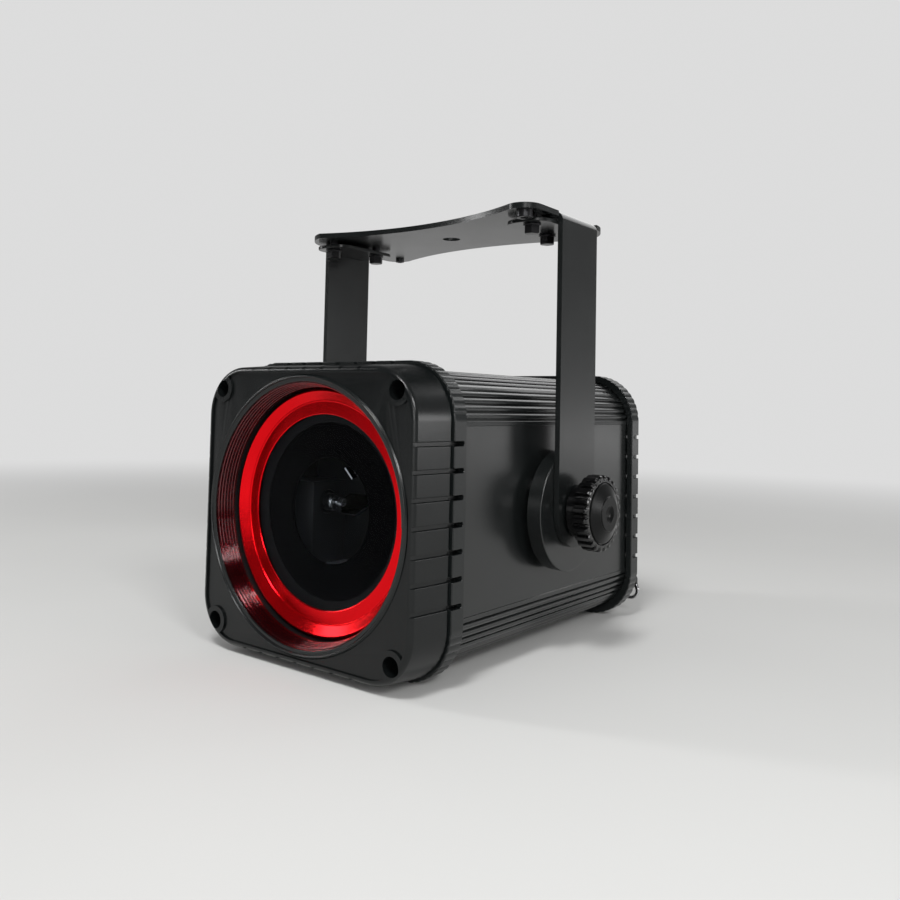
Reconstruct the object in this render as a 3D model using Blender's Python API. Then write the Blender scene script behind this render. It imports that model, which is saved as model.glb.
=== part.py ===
"""A laser light projector that hangs in a tilting yoke.

A square front plate carries a round window in a red ring. Behind it a ribbed body runs between two
slotted collars to the rear cover with its sockets, and the scanner, the sources and the supply sit
on a base plate inside. A bent steel yoke swings about two clamping knobs.

Sizes are in metres. In the housing's own frame the front plate lies in the plane y = 0, the optical
axis is x = z = 0, -Y faces the audience and +Z is up. The whole part then stands on the collars with
its origin at the bottom centre of its box.
"""

import math

import bmesh
import bpy
from mathutils import Matrix, Vector

MM = 0.001
GAP = 0.3 * MM  # clearance between pieces that touch

# Housing, front to rear
BEZEL_HALF = 75.0 * MM
BEZEL_REAR_HALF = 77.3 * MM
BEZEL_DEPTH = 24.5 * MM
BEZEL_CORNER = 26.0 * MM
BEZEL_FRONT_FILLET = 2.5 * MM
BEZEL_REAR_FILLET = 1.5 * MM
BORDER_WIDTH = 2.8 * MM
FIELD_DEPTH = 1.1 * MM
SEAM = 1.8 * MM  # shadow gap between the bezel and the front collar
COLLAR_DEPTH = 10.2 * MM
COLLAR_HALF = 79.0 * MM
COLLAR_CORNER = 30.0 * MM
COLLAR_FILLET = 0.8 * MM
HOUSING_DEPTH = 230.0 * MM  # front plane to the rear face of the rear collar
BODY_HALF = 75.0 * MM
BODY_CORNER = 28.8 * MM
BODY_WALL = 4.0 * MM
PANEL_RECESS = 0.3 * MM
PANEL_BORDER = 0.8 * MM
COVER_DEPTH = 5.0 * MM
COVER_FILLET = 1.5 * MM
GASKET_INSET = 0.1 * MM
GASKET_LAND = 4.0 * MM

# Grooves, slots and ribs
SLOT_COUNT = 7
SLOT_PITCH = 12.87 * MM
GROOVE_WIDTH = 2.3 * MM
GROOVE_DEPTH = 1.3 * MM
SLOT_WIDTH = 2.4 * MM
SLOT_LENGTH = 7.9 * MM
RIB_GROOVES = 10
RIB_PITCH = math.radians(8.4)
RIB_GROOVE_WIDTH = 1.1 * MM
RIB_GROOVE_DEPTH = 1.2 * MM
RIB_CROWN = 0.25 * MM
COLLAR_CUSP = 0.4 * MM

# Window in its threaded bore
BEAD_RADIUS = 70.0 * MM
BEAD_OUTER = 71.5 * MM
BEAD_PROUD = 0.3 * MM
BORE_MOUTH_Y = 0.5 * MM
BORE_MOUTH = 67.5 * MM
BORE_RADIUS = 65.3 * MM
BORE_CONE_Y = 11.8 * MM
FLANGE_RADIUS = 58.0 * MM
FLANGE_DEPTH = 3.0 * MM
SPIGOT_RADIUS = 70.0 * MM
RING_RADIUS = 63.4 * MM
RING_Y = 11.7 * MM
RING_STEP = 57.8 * MM
RING_STEP_Y = 14.8 * MM
RING_THREAD_LENGTH = 5.2 * MM
GLASS_SIGHT = 50.8 * MM
GLASS_RADIUS = 54.2 * MM
GLASS_Y = 17.8 * MM
GLASS_DEPTH = 3.2 * MM
SEAL_WIDTH = 7.2 * MM
SEAL_DEPTH = 0.5 * MM
MASK_DEPTH = 2.0 * MM
MASK_APERTURE = 27.8 * MM

# Housing screws
SCREW_X = 63.5 * MM
PAD_RADIUS = 7.5 * MM
COUNTERBORE = 4.75 * MM
SCREW_HEAD = 3.5 * MM
SCREW_HEAD_LENGTH = 4.0 * MM
SCREW_SHANK = 2.0 * MM
SCREW_HEAD_Y = 14.0 * MM
SCREW_LENGTH = 20.0 * MM
PORT_RADIUS = 4.3 * MM
PORT_DEPTH = 16.0 * MM
COVER_COUNTERBORE_DEPTH = 2.5 * MM

# Yoke and its pivot
PIVOT_Y = 124.3 * MM
ARM_INNER = 87.9 * MM
STRAP = 3.0 * MM
ARM_WIDTH = 40.0 * MM
CROSSBAR_TOP = 164.3 * MM
BEND_RADIUS = 1.5 * MM
WAIST_HALF = 33.5 * MM
WAIST_RADIUS = 178.0 * MM
WING_X = 89.6 * MM
WING_CORNER = 10.0 * MM
ROUND_CORNER = 28.8 * MM
RELIEF_WIDTH = 2.2 * MM
RELIEF_DEPTH = 3.6 * MM
YOKE_HOLE = 5.5 * MM
CAPTIVE_NUTS = (
    (81.0 * MM, -43.5 * MM, 4.45 * MM, 4.0 * MM),
    (-77.0 * MM, 41.0 * MM, 3.0 * MM, 2.2 * MM),
)
STIFFENER_DROP = 1.8 * MM
STIFFENER_THICKNESS = 2.1 * MM
STIFFENER_INNER_X = 61.0 * MM
STIFFENER_FRONT = 35.5 * MM
STIFFENER_REAR = 17.5 * MM
STIFFENER_CORNER = 9.0 * MM
STIFFENER_BOLTS = ((76.0 * MM, -27.5 * MM), (67.0 * MM, 4.0 * MM))
BOLT_SHANK = 2.5 * MM
BOLT_HEAD = 4.6 * MM
BOLT_HEAD_LENGTH = 3.4 * MM
DISC_RADIUS = 33.4 * MM
DISC_SEAT_RADIUS = 30.0 * MM
DISC_SEAT_DEPTH = 4.0 * MM
STUD_RADIUS = 4.0 * MM
STUD_INNER_X = 67.0 * MM

# Knobs, lengths measured from the arm's outer face
KNOB_NECK = 14.5 * MM
KNOB_NECK_LENGTH = 7.1 * MM
KNOB_RADIUS = 20.7 * MM
KNOB_FLUTE_DEPTH = 0.9 * MM
KNOB_FLUTES = 24
KNOB_GRIP_LENGTH = 9.5 * MM
KNOB_CONE = 16.15 * MM
KNOB_CONE_LENGTH = 3.6 * MM
KNOB_CAP = 8.9 * MM
KNOB_DIMPLE = 1.2 * MM
KNOB_BORE_DEPTH = 17.1 * MM

# Inside
LEDGE_WIDTH = 9.0 * MM
LEDGE_THICKNESS = 4.0 * MM
BASE_TOP_Z = -32.0 * MM
BASE_THICKNESS = 4.0 * MM
BASE_FRONT_Y = 36.0 * MM
BASE_REAR_Y = 212.0 * MM
MIRROR_Y_POS = (0.4 * MM, 40.0 * MM, 2.0 * MM)
MIRROR_Y_SIZE = (20.2 * MM, 14.0 * MM, 1.2 * MM)
MIRROR_X_POS = (0.4 * MM, 40.0 * MM, 19.0 * MM)
MIRROR_X_SIZE = (9.0 * MM, 8.0 * MM, 1.2 * MM)
MIRROR_TILT = math.radians(45)
MOTOR_RADIUS = 6.5 * MM
MOTOR_NOSE = 4.75 * MM
MOTOR_NOSE_LENGTH = 6.0 * MM
MOTOR_LENGTH = 36.0 * MM
SHAFT_RADIUS = 1.5 * MM
NOSE_GAP = 3.0 * MM
MOUNT_WALL = 5.0 * MM
MOUNT_LENGTH = 24.0 * MM
MOUNT_DEPTH = 16.0 * MM
MODULE_SIZE = (34.0 * MM, 46.0 * MM, 30.0 * MM)
MODULE_Y = 128.0 * MM
MODULE_PITCH = 45.0 * MM
MODULE_FINS = 5
MODULE_SNOUT = 5.0 * MM
COMBINER_SIZE = (14.0 * MM, 1.2 * MM, 15.0 * MM)
COMBINER_FOOT = 6.0 * MM
COMBINER_AHEAD = 24.0 * MM
SUPPLY_SIZE = (110.0 * MM, 120.0 * MM, 24.0 * MM)
SUPPLY_Y = 60.0 * MM
BOARD_X = 58.0 * MM
BOARD_SIZE = (1.6 * MM, 60.0 * MM, 50.0 * MM)
BOARD_Y = 56.0 * MM
CHIP = 10.0 * MM
CHIP_DEPTH = 5.0 * MM
CHIP_GRID = (2, 3)

# Rear cover's equipment: places are (x, z) on the cover
SOCKET_Z = -30.0 * MM
POWER_X = 44.0 * MM
DATA_IN_X = 6.0 * MM
DATA_OUT_X = -28.0 * MM
SOCKET_FLANGE = (26.0 * MM, 31.0 * MM)
SOCKET_FLANGE_DEPTH = 2.0 * MM
SOCKET_SHELL = 12.0 * MM
SOCKET_BORE = 9.6 * MM
SOCKET_BARREL_DEPTH = 11.0 * MM
SOCKET_FLOOR = 1.5 * MM
PIN_RADIUS = 0.9 * MM
PIN_CIRCLE = 5.0 * MM
PIN_LENGTH = 2.0 * MM
KEY_POS = (-52.0 * MM, 31.0 * MM)
KEY_FLANGE = 9.5 * MM
KEY_BARREL = 8.0 * MM
KEY_ROTOR = 5.2 * MM
KEY_SLOT = (1.6 * MM, 6.4 * MM)
LED_POS = (-52.0 * MM, 8.0 * MM)
LED_RADIUS = 2.5 * MM
VENT_POS = (52.0 * MM, 31.0 * MM)
VENT_RADIUS = 8.0 * MM
VENT_HEX_DEPTH = 2.5 * MM
VENT_CAP_DEPTH = 3.6 * MM
PANEL_SIZE = (70.0 * MM, 40.0 * MM, 2.5 * MM)
PANEL_Z = 29.0 * MM
SCREEN_SIZE = (52.0 * MM, 17.0 * MM)
SCREEN_RISE = 7.0 * MM
SCREEN_RECESS = 0.6 * MM
BUTTON_COUNT = 4
BUTTON_PITCH = 15.0 * MM
BUTTON_DROP = 11.0 * MM
BUTTON_RADIUS = 3.9 * MM
BUTTON_PROUD = 2.4 * MM
BUTTON_STEM = 3.0 * MM
BUTTON_EDGE = 0.6 * MM
EYE_POS = (68.5 * MM, -64.5 * MM)
EYE_RADIUS = 6.2 * MM
EYE_HOLE = 3.9 * MM
EYE_THICKNESS = 2.5 * MM
EYE_STANDOFF = 4.5 * MM
EYE_STRAP_WIDTH = 9.0 * MM
EYE_FOOT_TOP_Z = -40.0 * MM
EYE_FOOT_LENGTH = 12.0 * MM
EYE_SCREW_PROUD = 1.6 * MM

# Fineness of the round forms
CORNER_STEPS = 6
BIG_STEPS = 36
SMALL_STEPS = 16
TINY_STEPS = 8
SOCKET_STEPS = 16
KNOB_STEPS = 24
DISC_STEPS = 28
BEND_STEPS = 4
ARM_END_STEPS = 8
WAIST_STEPS = 5
WING_STEPS = 5

# Places that follow from the sizes above
COLLAR_Y = BEZEL_DEPTH + SEAM
BODY_FRONT_Y = COLLAR_Y + GAP
BODY_REAR_Y = HOUSING_DEPTH - GAP
COVER_Y = HOUSING_DEPTH + SEAM - GAP
COVER_FACE_Y = COVER_Y + COVER_DEPTH
EYE_Y = COVER_FACE_Y + EYE_STANDOFF
REAR_MOST_Y = max(EYE_Y + EYE_THICKNESS, COVER_FACE_Y + GAP + PANEL_SIZE[2] + BUTTON_PROUD)
INNER_HALF = BODY_HALF - BODY_WALL
INNER_CORNER = BODY_CORNER - BODY_WALL
ARM_OUTER = ARM_INNER + STRAP
CROSSBAR_UNDERSIDE = CROSSBAR_TOP - STRAP
BASE_UNDERSIDE_Z = BASE_TOP_Z - BASE_THICKNESS
MASK_Y = GLASS_Y + GLASS_DEPTH + SEAL_DEPTH + 2 * GAP
FLANGE_Y = MASK_Y + MASK_DEPTH + GAP

COLOURS = {
    "cast_black": ((0.018, 0.018, 0.019), 0.55, 0.0),
    "body_black": ((0.014, 0.014, 0.015), 0.42, 0.0),
    "strap_black": ((0.016, 0.016, 0.017), 0.38, 0.0),
    "rubber": ((0.012, 0.012, 0.012), 0.85, 0.0),
    "red_anodised": ((0.55, 0.008, 0.006), 0.30, 1.0),
    "glass": ((0.10, 0.10, 0.11), 0.05, 0.0),
    "mask_black": ((0.006, 0.006, 0.007), 0.45, 0.0),
    "screw_black": ((0.03, 0.03, 0.032), 0.35, 1.0),
    "aluminium": ((0.72, 0.72, 0.73), 0.35, 1.0),
    "mirror": ((0.90, 0.90, 0.92), 0.04, 1.0),
    "board_green": ((0.02, 0.16, 0.06), 0.50, 0.0),
    "knob_black": ((0.010, 0.010, 0.011), 0.25, 0.0),
    "socket_black": ((0.02, 0.02, 0.022), 0.40, 0.0),
    "plated_steel": ((0.62, 0.62, 0.64), 0.28, 1.0),
    "led_red": ((0.60, 0.02, 0.02), 0.20, 0.0),
    "screen": ((0.03, 0.05, 0.07), 0.12, 0.0),
}


# Scene

def clear_scene():
    """Remove every object, so that the part stands alone."""
    for obj in list(bpy.data.objects):
        bpy.data.objects.remove(obj)


def material(name):
    """The named finish, made once."""
    if name in bpy.data.materials:
        return bpy.data.materials[name]
    colour, roughness, metallic = COLOURS[name]
    made = bpy.data.materials.new(name)
    made.use_nodes = True
    shader = made.node_tree.nodes["Principled BSDF"]
    shader.inputs["Base Color"].default_value = (*colour, 1.0)
    shader.inputs["Roughness"].default_value = roughness
    shader.inputs["Metallic"].default_value = metallic
    made.diffuse_color = (*colour, 1.0)
    return made


def empty(name, parent, location):
    """A frame that carries pieces; on a moving one it lies on the joint's axis."""
    frame = bpy.data.objects.new(name, None)
    frame.parent = parent
    frame.location = location
    bpy.context.scene.collection.objects.link(frame)
    return frame


def place(name, shape, parent, finish, origin=(0, 0, 0)):
    """Turn a bmesh drawn in the parent's frame into an object with the given origin."""
    bmesh.ops.translate(shape, verts=shape.verts, vec=-Vector(origin))
    bmesh.ops.recalc_face_normals(shape, faces=shape.faces)
    mesh = bpy.data.meshes.new(name)
    shape.to_mesh(mesh)
    shape.free()
    mesh.shade_smooth()
    mesh.set_sharp_from_angle(angle=math.radians(32))
    mesh.materials.append(material(finish))
    obj = bpy.data.objects.new(name, mesh)
    obj.parent = parent
    obj.location = origin
    bpy.context.scene.collection.objects.link(obj)
    return obj


def boolean(target, tool_shape, operation):
    """Cut the target with a helper shape, or join the helper to it."""
    name = f"{target.name}_{operation.lower()}_{len(target.modifiers)}"
    tool = place(name, tool_shape, target.parent, "cast_black")
    tool.hide_render = True
    tool.display_type = "WIRE"
    step = target.modifiers.new(operation.title(), "BOOLEAN")
    step.operation = operation
    step.solver = "EXACT"
    step.object = tool
    return tool


def cut(target, tool_shape):
    """Take the shape away from the target."""
    return boolean(target, tool_shape, "DIFFERENCE")


def join(target, tool_shape):
    """Add the shape to the target."""
    return boolean(target, tool_shape, "UNION")


# Outlines in the plane across the optical axis

def arc(centre, radius, start, end, steps):
    """Points along an arc of a circle, both ends included."""
    turns = [start + (end - start) * i / steps for i in range(steps + 1)]
    return [(centre[0] + radius * math.cos(t), centre[1] + radius * math.sin(t)) for t in turns]


def rounded_rectangle(half_x, half_z, radius, steps=CORNER_STEPS, centre=(0, 0)):
    """Outline of a rectangle with round corners."""
    inner = (half_x - radius, half_z - radius)
    points = []
    for quarter, (sx, sz) in enumerate(((1, 1), (-1, 1), (-1, -1), (1, -1))):
        start = quarter * math.pi / 2
        corner = (centre[0] + sx * inner[0], centre[1] + sz * inner[1])
        points += arc(corner, radius, start, start + math.pi / 2, steps)
    return points


def rounded_square(half, radius, steps=CORNER_STEPS):
    """Outline of a square with round corners."""
    return rounded_rectangle(half, half, radius, steps)


def rib_corner():
    """One ribbed corner of the body as (angle, inset) pairs: crowned ribs parted by narrow grooves."""
    edge = RIB_GROOVE_WIDTH / 2 / BODY_CORNER
    first = (math.pi / 2 - (RIB_GROOVES - 1) * RIB_PITCH) / 2
    pairs = [(0, 0)]
    for index in range(RIB_GROOVES):
        middle = first + index * RIB_PITCH
        pairs += [(middle - edge, RIB_CROWN), (middle, RIB_GROOVE_DEPTH), (middle + edge, RIB_CROWN)]
        if index < RIB_GROOVES - 1:
            pairs.append((middle + RIB_PITCH / 2, 0))
    pairs.append((math.pi / 2, 0))
    return pairs


def cusp_corner():
    """The matching corner of a collar's bore: shallow scallops that meet in cusps at the grooves."""
    first = (math.pi / 2 - (RIB_GROOVES - 1) * RIB_PITCH) / 2
    pairs = [(0, -GAP)]
    for index in range(RIB_GROOVES):
        middle = first + index * RIB_PITCH
        pairs.append((middle, COLLAR_CUSP - GAP))
        if index < RIB_GROOVES - 1:
            pairs.append((middle + RIB_PITCH / 2, -2 * GAP))
    pairs.append((math.pi / 2, -GAP))
    return pairs


def around_body(pairs, flat):
    """Close an outline from four copies of a corner; flat lists (along, inset) points of each side."""
    centre = BODY_HALF - BODY_CORNER
    points = []
    for quarter in range(4):
        turn = Matrix.Rotation(quarter * math.pi / 2, 2)
        for angle, inset in pairs:
            radius = BODY_CORNER - inset
            spot = Vector((centre + radius * math.cos(angle), centre + radius * math.sin(angle)))
            points.append(tuple(turn @ spot))
        for along, inset in flat:
            points.append(tuple(turn @ Vector((-along, BODY_HALF - inset))))
    return points


def body_outline():
    """Section of the body: ribbed corners, and sides with a slightly sunk panel."""
    reach = BODY_HALF - BODY_CORNER - PANEL_BORDER
    slope = reach - PANEL_RECESS
    flat = [(-reach, 0), (-slope, PANEL_RECESS), (slope, PANEL_RECESS), (reach, 0)]
    return around_body(rib_corner(), flat)


# Solids

def along_y(points, y):
    """Lift an outline of (x, z) points to the plane at y."""
    return [(x, y, z) for x, z in points]


def loft(sections, ring=False, shape=None):
    """Skin equal loops of points; a ring joins its last loop to its first, else both ends are capped."""
    shape = shape or bmesh.new()
    loops = [[shape.verts.new(point) for point in section] for section in sections]
    pairs = list(zip(loops, loops[1:] + loops[:1])) if ring else list(zip(loops, loops[1:]))
    for near, far in pairs:
        for i, here in enumerate(near):
            after = (i + 1) % len(near)
            shape.faces.new((here, near[after], far[after], far[i]))
    if not ring:
        shape.faces.new(loops[0])
        shape.faces.new(loops[-1])
    return shape


def prism(points, y_start, y_end, shape=None):
    """An outline run straight along Y."""
    return loft([along_y(points, y_start), along_y(points, y_end)], shape=shape)


def axis_point(axis, radial, height):
    """A point at a height along an axis, with its two cross coordinates."""
    u, v = radial
    return {"X": (height, u, v), "Y": (u, height, v), "Z": (u, v, height)}[axis]


def turned(profile, axis, centre=(0, 0, 0), steps=BIG_STEPS, ring=False, shape=None):
    """Revolve (radius, height) points about an axis through the centre."""
    sections = []
    for radius, height in profile:
        circle = arc((0, 0), radius, 0, 2 * math.pi * (steps - 1) / steps, steps - 1)
        spots = [Vector(axis_point(axis, spot, height)) + Vector(centre) for spot in circle]
        sections.append(spots)
    return loft(sections, ring, shape)


def cylinder(radius, start, end, axis, centre=(0, 0, 0), steps=SMALL_STEPS, shape=None):
    """A plain round rod or hole."""
    return turned([(radius, start), (radius, end)], axis, centre, steps, shape=shape)


def block(low, high, shape=None):
    """A box between two opposite corners."""
    outline = [(low[0], low[2]), (high[0], low[2]), (high[0], high[2]), (low[0], high[2])]
    return prism(outline, low[1], high[1], shape)


def corners(x, z):
    """The four mirrored places of a point."""
    return [(x, z), (-x, z), (-x, -z), (x, -z)]


def filleted(outline_at, start, end, fillet_start, fillet_end, steps=(2, 1)):
    """Sections along Y with rounded end edges; outline_at(y, inset) gives one outline."""
    sections = []
    for i in range(steps[0] + 1):
        turn = math.pi / 2 * i / steps[0]
        y = start + fillet_start * (1 - math.cos(turn))
        sections.append(along_y(outline_at(y, fillet_start * (1 - math.sin(turn))), y))
    for i in range(steps[1], -1, -1):
        turn = math.pi / 2 * i / steps[1]
        y = end - fillet_end * (1 - math.cos(turn))
        sections.append(along_y(outline_at(y, fillet_end * (1 - math.sin(turn))), y))
    return sections


def slot_places():
    """Places of the grooves and slots along one side."""
    middle = (SLOT_COUNT - 1) / 2
    return [(index - middle) * SLOT_PITCH for index in range(SLOT_COUNT)]


def on_four_sides(make_one):
    """A shape with one copy of a side's helper at each slot place of all four sides."""
    shape = bmesh.new()
    for place_along in slot_places():
        for quarter in range(4):
            before = set(shape.verts)
            make_one(shape, place_along)
            fresh = [vert for vert in shape.verts if vert not in before]
            turn = Matrix.Rotation(quarter * math.pi / 2, 4, "Y")
            bmesh.ops.transform(shape, matrix=turn, verts=fresh)
    return shape


# Front plate

def bezel_half(y):
    """Half width of the drafted front plate at a depth."""
    return BEZEL_HALF + (BEZEL_REAR_HALF - BEZEL_HALF) * y / BEZEL_DEPTH


def bezel_outline(y, inset):
    """Section of the front plate; its corner arcs keep one centre."""
    half = bezel_half(y) - inset
    return rounded_square(half, half - (BEZEL_HALF - BEZEL_CORNER))


def edge_groove(shape, along):
    """One groove of the front plate's edge, parallel to the draft."""
    half = GROOVE_WIDTH / 2
    margin = 1.0 * MM
    floor_front = bezel_half(-margin) - GROOVE_DEPTH
    floor_rear = bezel_half(BEZEL_DEPTH + margin) - GROOVE_DEPTH
    top = BEZEL_REAR_HALF + 2 * margin
    rear = BEZEL_DEPTH + margin
    section = [(floor_front, -margin), (top, -margin), (top, rear), (floor_rear, rear)]
    sides = [[(x, y, along + side) for x, y in section] for side in (-half, half)]
    loft(sides, shape=shape)


def field_tool():
    """The shallow field of the front face, with the four screw pads left standing."""
    half = BEZEL_HALF - BORDER_WIDTH
    outline = rounded_square(half, half - (BEZEL_HALF - BEZEL_CORNER))
    return prism(outline, -MM, FIELD_DEPTH)


def pads_tool():
    """Four round pads."""
    shape = bmesh.new()
    for x, z in corners(SCREW_X, SCREW_X):
        cylinder(PAD_RADIUS, -2 * MM, 2 * FIELD_DEPTH, "Y", (x, 0, z), SMALL_STEPS, shape)
    return shape


def bezel_sleeve():
    """The raised bead, the threaded bore behind it and the inner flange, turned in one piece."""
    rear = FLANGE_Y + FLANGE_DEPTH
    step = 4 * MM
    bead = [(BEAD_OUTER, FIELD_DEPTH + MM), (BEAD_OUTER, FIELD_DEPTH / 2)]
    crown = arc((0, 0), 1, math.radians(30), math.radians(150), 3)
    for across, up in crown:
        reach = BEAD_OUTER - BEAD_RADIUS if across > 0 else BEAD_RADIUS - BORE_MOUTH
        bead.append((BEAD_RADIUS + across * reach, BORE_MOUTH_Y - up * (BORE_MOUTH_Y + BEAD_PROUD)))
    bore = [(BORE_MOUTH, BORE_MOUTH_Y), (BORE_RADIUS, BORE_CONE_Y), (BORE_RADIUS, FLANGE_Y)]
    back = [(FLANGE_RADIUS, FLANGE_Y), (FLANGE_RADIUS, rear), (SPIGOT_RADIUS, rear)]
    shoulder = [(SPIGOT_RADIUS, BEZEL_DEPTH - step), (BEAD_OUTER, BEZEL_DEPTH - step)]
    return turned(bead + bore + back + shoulder, "Y", ring=True)


def screw_well(head_y, end_y, toward):
    """Counterbores and clearance holes of four housing screws; toward is the way the screws drive."""
    shape = bmesh.new()
    seat = head_y + toward * SCREW_HEAD_LENGTH
    mouth = head_y - toward * 30 * MM
    clearance = SCREW_SHANK + GAP
    profile = [(COUNTERBORE, mouth), (COUNTERBORE, seat), (clearance, seat), (clearance, end_y)]
    for x, z in corners(SCREW_X, SCREW_X):
        turned(profile, "Y", (x, 0, z), TINY_STEPS, shape=shape)
    return shape


def make_bezel(housing):
    """The cast front plate."""
    sections = filleted(bezel_outline, 0, BEZEL_DEPTH, BEZEL_FRONT_FILLET, BEZEL_REAR_FILLET)
    bezel = place("front_bezel", loft(sections), housing, "cast_black")
    field = cut(bezel, field_tool())
    cut(field, pads_tool())
    cut(bezel, on_four_sides(edge_groove))
    cut(bezel, cylinder(BEAD_RADIUS - MM / 2, -5 * MM, BEZEL_DEPTH + 5 * MM, "Y", steps=BIG_STEPS))
    join(bezel, bezel_sleeve())
    cut(bezel, screw_well(SCREW_HEAD_Y, BEZEL_DEPTH + 5 * MM, 1))


def make_screw(name, housing, spot, head_y, toward):
    """A cap screw with a hexagon socket; toward is the way it drives."""
    x, z = spot
    seat = head_y + toward * (SCREW_HEAD_LENGTH - GAP)
    tip = head_y + toward * (SCREW_HEAD_LENGTH + SCREW_LENGTH)
    profile = [(SCREW_HEAD, head_y), (SCREW_HEAD, seat), (SCREW_SHANK, seat), (SCREW_SHANK, tip)]
    screw = place(name, turned(profile, "Y", (x, 0, z), TINY_STEPS), housing, "screw_black")
    floor = head_y + toward * SCREW_HEAD_LENGTH / 2
    cut(screw, cylinder(SCREW_HEAD / 2, head_y - toward * MM, floor, "Y", (x, 0, z), 6))


# Window

def make_window(housing):
    """Red ring, glass, seal and aperture plate, stacked in the bore."""
    lip = GLASS_Y - GAP
    pocket = GLASS_RADIUS + 0.4 * MM
    thread = BORE_RADIUS - 0.4 * MM
    rear = MASK_Y - 0.4 * MM
    start = rear - RING_THREAD_LENGTH  # the thread's first turn
    ring = [(GLASS_SIGHT, lip), (RING_STEP, RING_STEP_Y), (RING_RADIUS, RING_Y), (thread, start)]
    ring += [(thread, rear), (pocket, rear), (pocket, lip)]
    place("lens_ring", turned(ring, "Y", ring=True), housing, "red_anodised")
    glass_rear = GLASS_Y + GLASS_DEPTH
    pane = cylinder(GLASS_RADIUS, GLASS_Y, glass_rear, "Y", steps=BIG_STEPS)
    place("window_glass", pane, housing, "glass")
    seal = (GLASS_RADIUS - SEAL_WIDTH, GLASS_RADIUS)
    washer("window_seal", housing, "rubber", seal, glass_rear + GAP, SEAL_DEPTH, 24)
    washer("mask_plate", housing, "mask_black", (MASK_APERTURE, thread), MASK_Y, MASK_DEPTH)


def washer(name, parent, finish, radii, start, depth, steps=BIG_STEPS):
    """A flat ring across the optical axis."""
    inner, outer = radii
    profile = [(inner, start), (outer, start), (outer, start + depth), (inner, start + depth)]
    place(name, turned(profile, "Y", steps=steps, ring=True), parent, finish)


# Body, collars and seals

def make_gasket(name, housing, y_start):
    """A flat seal that follows the body's end face, notched for the screws."""
    outer = BODY_HALF - GASKET_INSET
    inner = outer - GASKET_LAND
    centre = BODY_HALF - BODY_CORNER
    loops = []
    for half, y in ((outer, 0), (outer, 1), (inner, 1), (inner, 0)):
        loops.append(along_y(rounded_square(half, half - centre, 4), y_start + y * (SEAM - 2 * GAP)))
    gasket = place(name, loft(loops, ring=True), housing, "rubber")
    notches = bmesh.new()
    for x, z in corners(SCREW_X, SCREW_X):
        cylinder(SCREW_SHANK + GAP, y_start - MM, y_start + SEAM, "Y", (x, 0, z), TINY_STEPS, notches)
    cut(gasket, notches)


def cavity_tool():
    """The body's inside, which leaves the screw ports and the ledges of the base plate standing."""
    ports = bmesh.new()
    for x, z in corners(SCREW_X, SCREW_X):
        cylinder(PORT_RADIUS, 0, HOUSING_DEPTH + 10 * MM, "Y", (x, 0, z), TINY_STEPS, ports)
    ledge_top = BASE_UNDERSIDE_Z - GAP
    for side in (-1, 1):
        ends = sorted((side * (INNER_HALF - LEDGE_WIDTH), side * (INNER_HALF + 2 * MM)))
        low = (ends[0], 0, ledge_top - LEDGE_THICKNESS)
        block(low, (ends[1], HOUSING_DEPTH + 10 * MM, ledge_top), ports)
    inside = prism(rounded_square(INNER_HALF, INNER_CORNER), 5 * MM, HOUSING_DEPTH + 5 * MM)
    return inside, ports


def make_body(housing):
    """The ribbed body with its cavity, screw ports and pivot holes."""
    body = place("body_extrusion", prism(body_outline(), BODY_FRONT_Y, BODY_REAR_Y), housing, "body_black")
    inside, ports = cavity_tool()
    cavity = cut(body, inside)
    cut(cavity, ports)
    wells = bmesh.new()
    for x, z in corners(SCREW_X, SCREW_X):
        radius = SCREW_SHANK + GAP
        cylinder(radius, 0, BODY_FRONT_Y + PORT_DEPTH, "Y", (x, 0, z), TINY_STEPS, wells)
        rear = (BODY_REAR_Y - PORT_DEPTH, HOUSING_DEPTH + 5 * MM)
        cylinder(radius, *rear, "Y", (x, 0, z), TINY_STEPS, wells)
    for side in (-1, 1):
        reach = (side * (INNER_HALF - 5 * MM), side * (BODY_HALF + 5 * MM))
        cylinder(STUD_RADIUS + GAP, *reach, "X", (0, PIVOT_Y, 0), SMALL_STEPS, wells)
    cut(body, wells)


def collar_slot(shape, along, y_open, y_closed):
    """One round-ended slot through a collar's wall."""
    half = SLOT_WIDTH / 2
    way = 1 if y_closed > y_open else -1
    turns = [math.pi * i / 2 for i in range(3)]
    outline = [(along + half * math.cos(t), y_closed + way * half * (math.sin(t) - 1)) for t in turns]
    outline += [(along - half, y_open - way * MM), (along + half, y_open - way * MM)]
    reach = (BODY_HALF - 3 * MM, COLLAR_HALF + 3 * MM)
    loft([[(x, y, z) for z, y in outline] for x in reach], shape=shape)


def make_collar(name, housing, y_start, y_open, y_closed):
    """A slotted surround on the body's end, with scallops that fit its ribs."""
    centre = COLLAR_HALF - COLLAR_CORNER

    def outline(_, inset):
        return rounded_square(COLLAR_HALF - inset, COLLAR_HALF - inset - centre)

    sections = filleted(outline, y_start, y_start + COLLAR_DEPTH, COLLAR_FILLET, COLLAR_FILLET, (1, 1))
    collar = place(name, loft(sections), housing, "cast_black")
    bore = around_body(cusp_corner(), [])
    cut(collar, prism(bore, y_start - 5 * MM, y_start + COLLAR_DEPTH + 5 * MM))
    cut(collar, on_four_sides(lambda shape, along: collar_slot(shape, along, y_open, y_closed)))


# Yoke, its pivot and its knobs

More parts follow.
